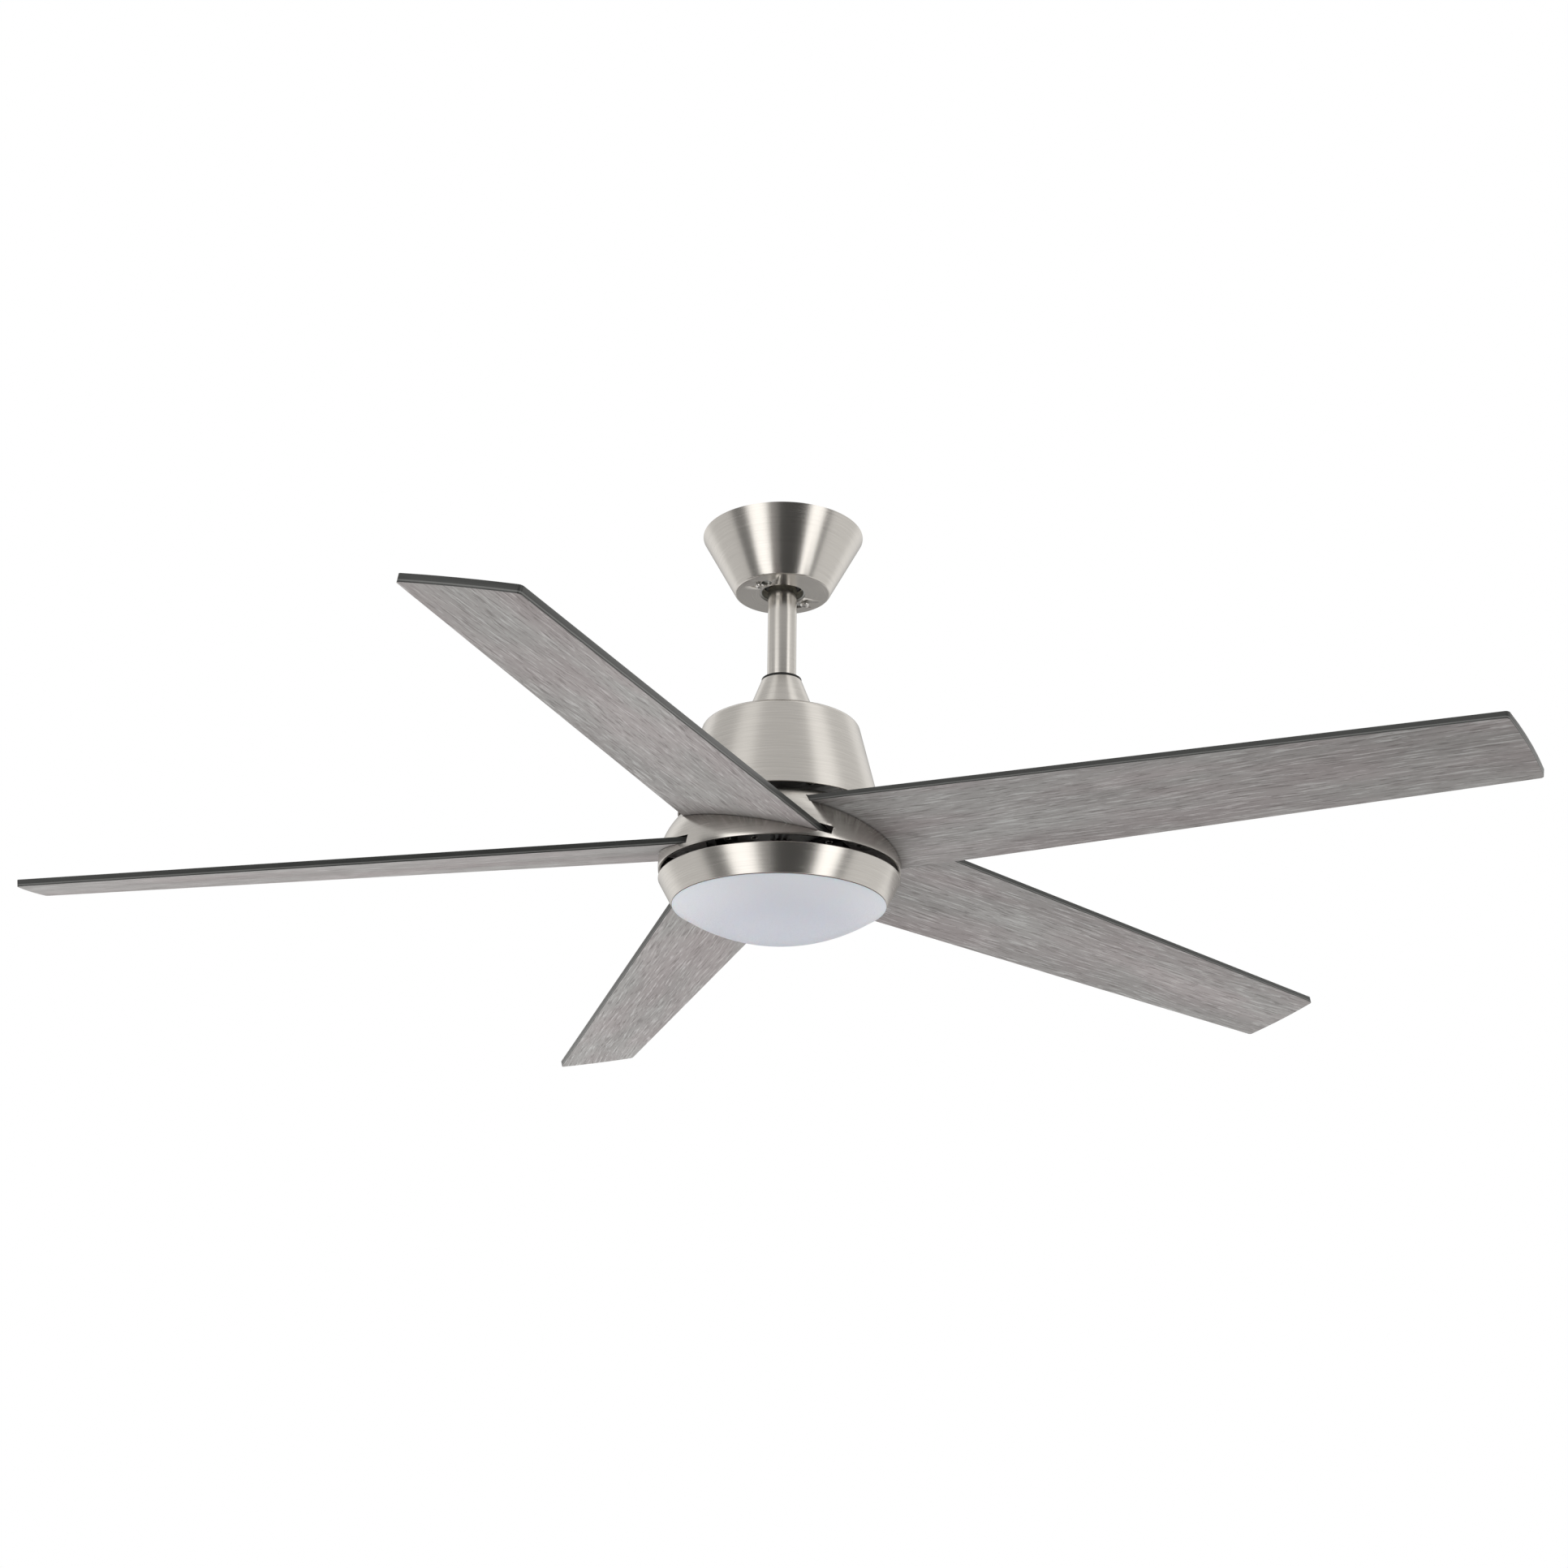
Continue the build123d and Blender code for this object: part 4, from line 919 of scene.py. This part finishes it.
lens_place = chip_rule.vector(x * lens_width, y * lens_width, lens_height)
lens = chip_rule.reshape(lens, lens_place)
chip_rule.finish(chip_rule.on_seats(chip_rule.together(body, lens)))
chips = islands("led_chips")
chip_low, chip_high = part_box("led_chips")
chip_sizes = {"Length": 0.0035, "Width": 0.0028, "Height": chip_high.z - chip_low.z}
places = [(Vector((*middle(points).xy, chip_high.z)), (0, 0, -1)) for points in chips]
material = finishes[slots["led_chips"]]
seats = seat_mesh("chip_seats", places)
hand_over(chip_rule.make("led_chips_finished", seats, material, **chip_sizes), "led_chips", material)
print("lamp chips", len(chips))

# %% [markdown]
# ## Copper windings
# Each of the motor's teeth is wound with enamelled wire, so a coil is not a smooth block
# but many close turns. The rule draws one turn as a rounded loop of wire, sets a row of
# turns side by side, and lays a second, wider row over the first.

# %% The rule for a wound coil
coil_rule = Rule("wound_coil", ("Core Width", "Core Height", "Wire"), ("Turns",))
given = coil_rule.given
wire = given["Wire"]
profile = coil_rule.node("GeometryNodeCurvePrimitiveCircle", inputs={"Resolution": 5, "Radius": wire * 0.5})


def layer(number):
    """One layer of turns: its loops fit round the core and the layers under it."""
    grown = wire * (1.0 + 1.8 * number)
    sockets = {"Width": given["Core Width"] + grown, "Height": given["Core Height"] + grown}
    loop = coil_rule.node("GeometryNodeCurvePrimitiveQuadrilateral", inputs=sockets)
    corner = wire * (0.8 + 0.9 * number)
    loop = coil_rule.node("GeometryNodeFilletCurve", {"mode": "POLY"}, {0: loop, 1: 3, 2: corner})
    turn = coil_rule.node("GeometryNodeCurveToMesh", inputs={0: loop, 1: profile})
    turns = given["Turns"] * 1.0 - float(number)
    start = coil_rule.vector(0.0, 0.0, (1.0 - turns) * wire * 0.5)
    sockets = {"Count": turns, "Start Location": start, "Offset": coil_rule.vector(0.0, 0.0, wire)}
    row = coil_rule.node("GeometryNodeMeshLine", inputs=sockets)
    return coil_rule.node("GeometryNodeInstanceOnPoints", inputs={"Points": row, "Instance": turn})


# A coil's own y stays upright while its z points away from the fan's axis.
outward = coil_rule.node("GeometryNodeInputNamedAttribute", {"data_type": "FLOAT_VECTOR"}, {0: "axis"})
aim = coil_rule.node("FunctionNodeAlignRotationToVector", {"axis": "Z"}, {"Vector": outward})
settings = {"axis": "Y", "pivot_axis": "Z"}
upright = coil_rule.vector(0.0, 0.0, 1.0)
aim = coil_rule.node("FunctionNodeAlignRotationToVector", settings, {"Rotation": aim, "Vector": upright})
sockets = {"Points": given["Seats"], "Instance": coil_rule.together(layer(0), layer(1)), "Rotation": aim}
coil_rule.finish(coil_rule.node("GeometryNodeInstanceOnPoints", inputs=sockets))

# %% Wind the teeth
coils = islands("stator_windings")
core_low, core_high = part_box("stator_core")
coil_centre = [middle(points) for points in coils]
coil_length = max(p.x for p in coils[0]) - min(p.x for p in coils[0])
wire_width, tooth_width = 0.0014, 0.0072
places = [(centre, Vector((centre.x, centre.y, 0)).normalized()) for centre in coil_centre]
wanted = {"Core_Width": tooth_width, "Core_Height": core_high.z - core_low.z + 0.0002, "Wire": wire_width}
turns = int(coil_length / wire_width)
material = finishes[slots["stator_windings"]]
windings = coil_rule.make("stator_windings_finished", seat_mesh("coil_seats", places), material,
                          Turns=turns, **wanted)
hand_over(windings, "stator_windings", material)
print("coils", len(coils), "of", turns, "turns,", len(windings.data.polygons), "faces")

# %% [markdown]
# ## Ribbed wire connectors
# The caps that join the house wires are moulded with ribs for the fingers. A cone whose
# sides swing in and out a set number of times round its axis is that shape, so its rule
# moves the points of a plain cone.

# %% The rule for a ribbed cap
cap_rule = Rule("ribbed_cap", ("Mouth Radius", "Tip Radius", "Height", "Rib Depth"), ("Ribs",))
given = cap_rule.given
sockets = {"Vertices": given["Ribs"] * 6.0, "Side Segments": 8, "Radius Top": given["Tip Radius"]}
sockets |= {"Radius Bottom": given["Mouth Radius"], "Depth": given["Height"]}
cap = cap_rule.node("GeometryNodeMeshCone", inputs=sockets)
x, y, z = cap_rule.parts(cap_rule.node("GeometryNodeInputPosition"))
angle = cap_rule.node("ShaderNodeMath", {"operation": "ARCTAN2"}, {0: y, 1: x})
wave = (angle * given["Ribs"]).math("COSINE") * 0.5 - 0.5
share = z / given["Height"]
grip = cap_rule.ramp(share, 0.05, 0.15) * cap_rule.ramp(share, 0.98, 0.85)
squeeze = 1.0 + wave * grip * (given["Rib Depth"] / given["Mouth Radius"])
cap_rule.finish(cap_rule.on_seats(cap_rule.reshape(cap, cap_rule.vector(x * squeeze, y * squeeze, z))))

# %% Make the caps
caps = islands("wire_connectors")
cap_low, cap_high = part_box("wire_connectors")
mouth = max((p - middle(caps[0])).xy.length for p in caps[0])
tip = max((p - middle(caps[0])).xy.length for p in caps[0] if p.z < cap_low.z + 0.001)
places = [(Vector((*middle(points).xy, cap_high.z)), (0, 0, -1)) for points in caps]
material = finishes[slots["wire_connectors"]]
wanted = {"Mouth_Radius": mouth, "Tip_Radius": tip, "Height": cap_high.z - cap_low.z, "Rib_Depth": 0.0007}
seats = seat_mesh("cap_seats", places)
ribbed = cap_rule.make("wire_connectors_finished", seats, material, Ribs=16, **wanted)
hand_over(ribbed, "wire_connectors", material)
print("wire caps", len(caps))

# %% The rest of the pieces
done = {"downrod", "yoke_cover", "yoke_ring", "motor_housing", "light_pan", "diffuser", "hub_ring", "canopy"}
done |= {f"blade_{number}" for number in range(1, blade_count + 1)}
done |= {"bearing_balls", "led_chips", "stator_windings", "wire_connectors", *screw_groups}
for node in sorted(set(nodes) - done):
    hand_over(eased(node, smooth=35.0), node, finishes[slots[node]])
print("pieces finished", len(nodes))

# %% [markdown]
# ## The studio
# The fan hangs in a white studio over a pale floor. Metal shows only what it mirrors, so the
# surroundings are upright panels: bright ones left and right of the front, with dark gaps
# beside them, which give brushed metal its light and dark bands. Wood and acrylic need
# light from a side, so three soft lights stand low round the fan and stay out of the metal.


# %% The surroundings
world = bpy.data.worlds.new("studio")
bpy.context.scene.world = world
world.use_nodes = True
sky = Tree(world.node_tree)
sky.nodes.clear()
east, north, up_share = sky.parts(sky.node("ShaderNodeTexCoord", output=0))
turn = sky.node("ShaderNodeMath", {"operation": "ARCTAN2"}, {0: east, 1: north * -1.0}) * (180 / math.pi)


def panels(first, *steps):
    """Upright panels from left to right: each step is a bearing, its softness and a level."""
    level, before = sky.ramp(turn, -400.0, -390.0) * first, first
    for bearing, soft, after in steps:
        level = level + sky.ramp(turn, bearing - soft, bearing + soft) * (after - before)
        before = after
    return level


low_part = panels(0.70, (-78, 3, 0.20), (-54, 4, 1.70), (-24, 6, 0.34), (-8, 4, 0.08), (40, 3, 1.85),
                  (63, 2, 0.24), (74, 2, 0.78))
high_part = panels(0.60, (-72, 9, 0.92), (-38, 10, 0.62), (46, 6, 1.14), (78, 8, 0.72))
upper = sky.ramp(up_share, 0.0, 0.62)
front = low_part * (1.0 - upper) + high_part * upper
# Behind the fan, broad soft panels alternate all the way round.
rear = (turn * (4 * math.pi / 180)).math("COSINE") * -0.30 + 0.68
behind = sky.ramp(turn.math("ABSOLUTE"), 116, 130)
level = front * (1.0 - behind) + rear * behind
plain = sky.node("ShaderNodeBackground", inputs={0: grey(1.0), 1: 1.0})
lit = sky.node("ShaderNodeBackground", inputs={0: (1.0, 0.985, 0.965, 1.0), 1: level})
seen = sky.node("ShaderNodeLightPath", output=0)
both = sky.node("ShaderNodeMixShader", inputs={0: seen, 1: lit, 2: plain})
outlet = sky.nodes.new("ShaderNodeOutputWorld")
sky.links.new(both.socket, outlet.inputs["Surface"])
bpy.context.scene.view_settings.view_transform = "Standard"

# %% The floor
floor_z = -2.6
floor_mesh = bpy.data.meshes.new("floor")
reach = 14.0
corners = [(x * reach, y * reach, floor_z) for x, y in ((-1, -1), (1, -1), (1, 1), (-1, 1))]
floor_mesh.from_pydata(corners, [], [(0, 1, 2, 3)])
floor_mesh.materials.append(workshop("pale_floor", (0.86, 0.86, 0.85), 0.6, 0.0, 3.0, depth=0.0, spread=0.02))
floor = add_object("floor", floor_mesh)
floor.visible_glossy = False


# %% The soft lights
def soft_light(name, place, target, size, power):
    lamp = bpy.data.lights.new(name, "AREA")
    lamp.energy = power
    lamp.shape = "RECTANGLE"
    lamp.size, lamp.size_y = size
    holder = add_object(name, lamp)
    holder.location = place
    aim = Vector(target) - Vector(place)
    holder.rotation_euler = aim.to_track_quat("-Z", "Y").to_euler()
    holder.visible_glossy = False
    return holder


centre = (0.0, 0.0, -0.3)
soft_light("front_light", (-1.2, -2.2, -1.6), centre, (1.6, 1.2), 8.0)
soft_light("rear_light", (-0.5, 1.3, -1.8), centre, (1.4, 1.4), 21.0)
soft_light("side_light", (1.8, 0.5, -1.4), centre, (0.8, 1.2), 7.0)

# %% The camera
# It stands a little under two metres in front of the fan and 0.9 m under the ceiling, and
# looks up at it.
yaw, tilt, roll = math.radians(0.21), math.radians(20.65), math.radians(-0.6)
turned_to = Matrix.Rotation(yaw, 3, "Z") @ Matrix.Rotation(tilt, 3, "X") @ Matrix.Rotation(roll, 3, "Y")
right, forward, above = turned_to.col[0], turned_to.col[1], turned_to.col[2]
camera_data = bpy.data.cameras.new("camera")
camera_data.sensor_width = 36.0
camera_data.lens = 49.49
camera = add_object("camera", camera_data)
view = Matrix((right, above, -forward)).transposed().to_4x4()
camera.matrix_world = Matrix.Translation((0.0099, -1.820, -0.9328)) @ view
bpy.context.scene.camera = camera
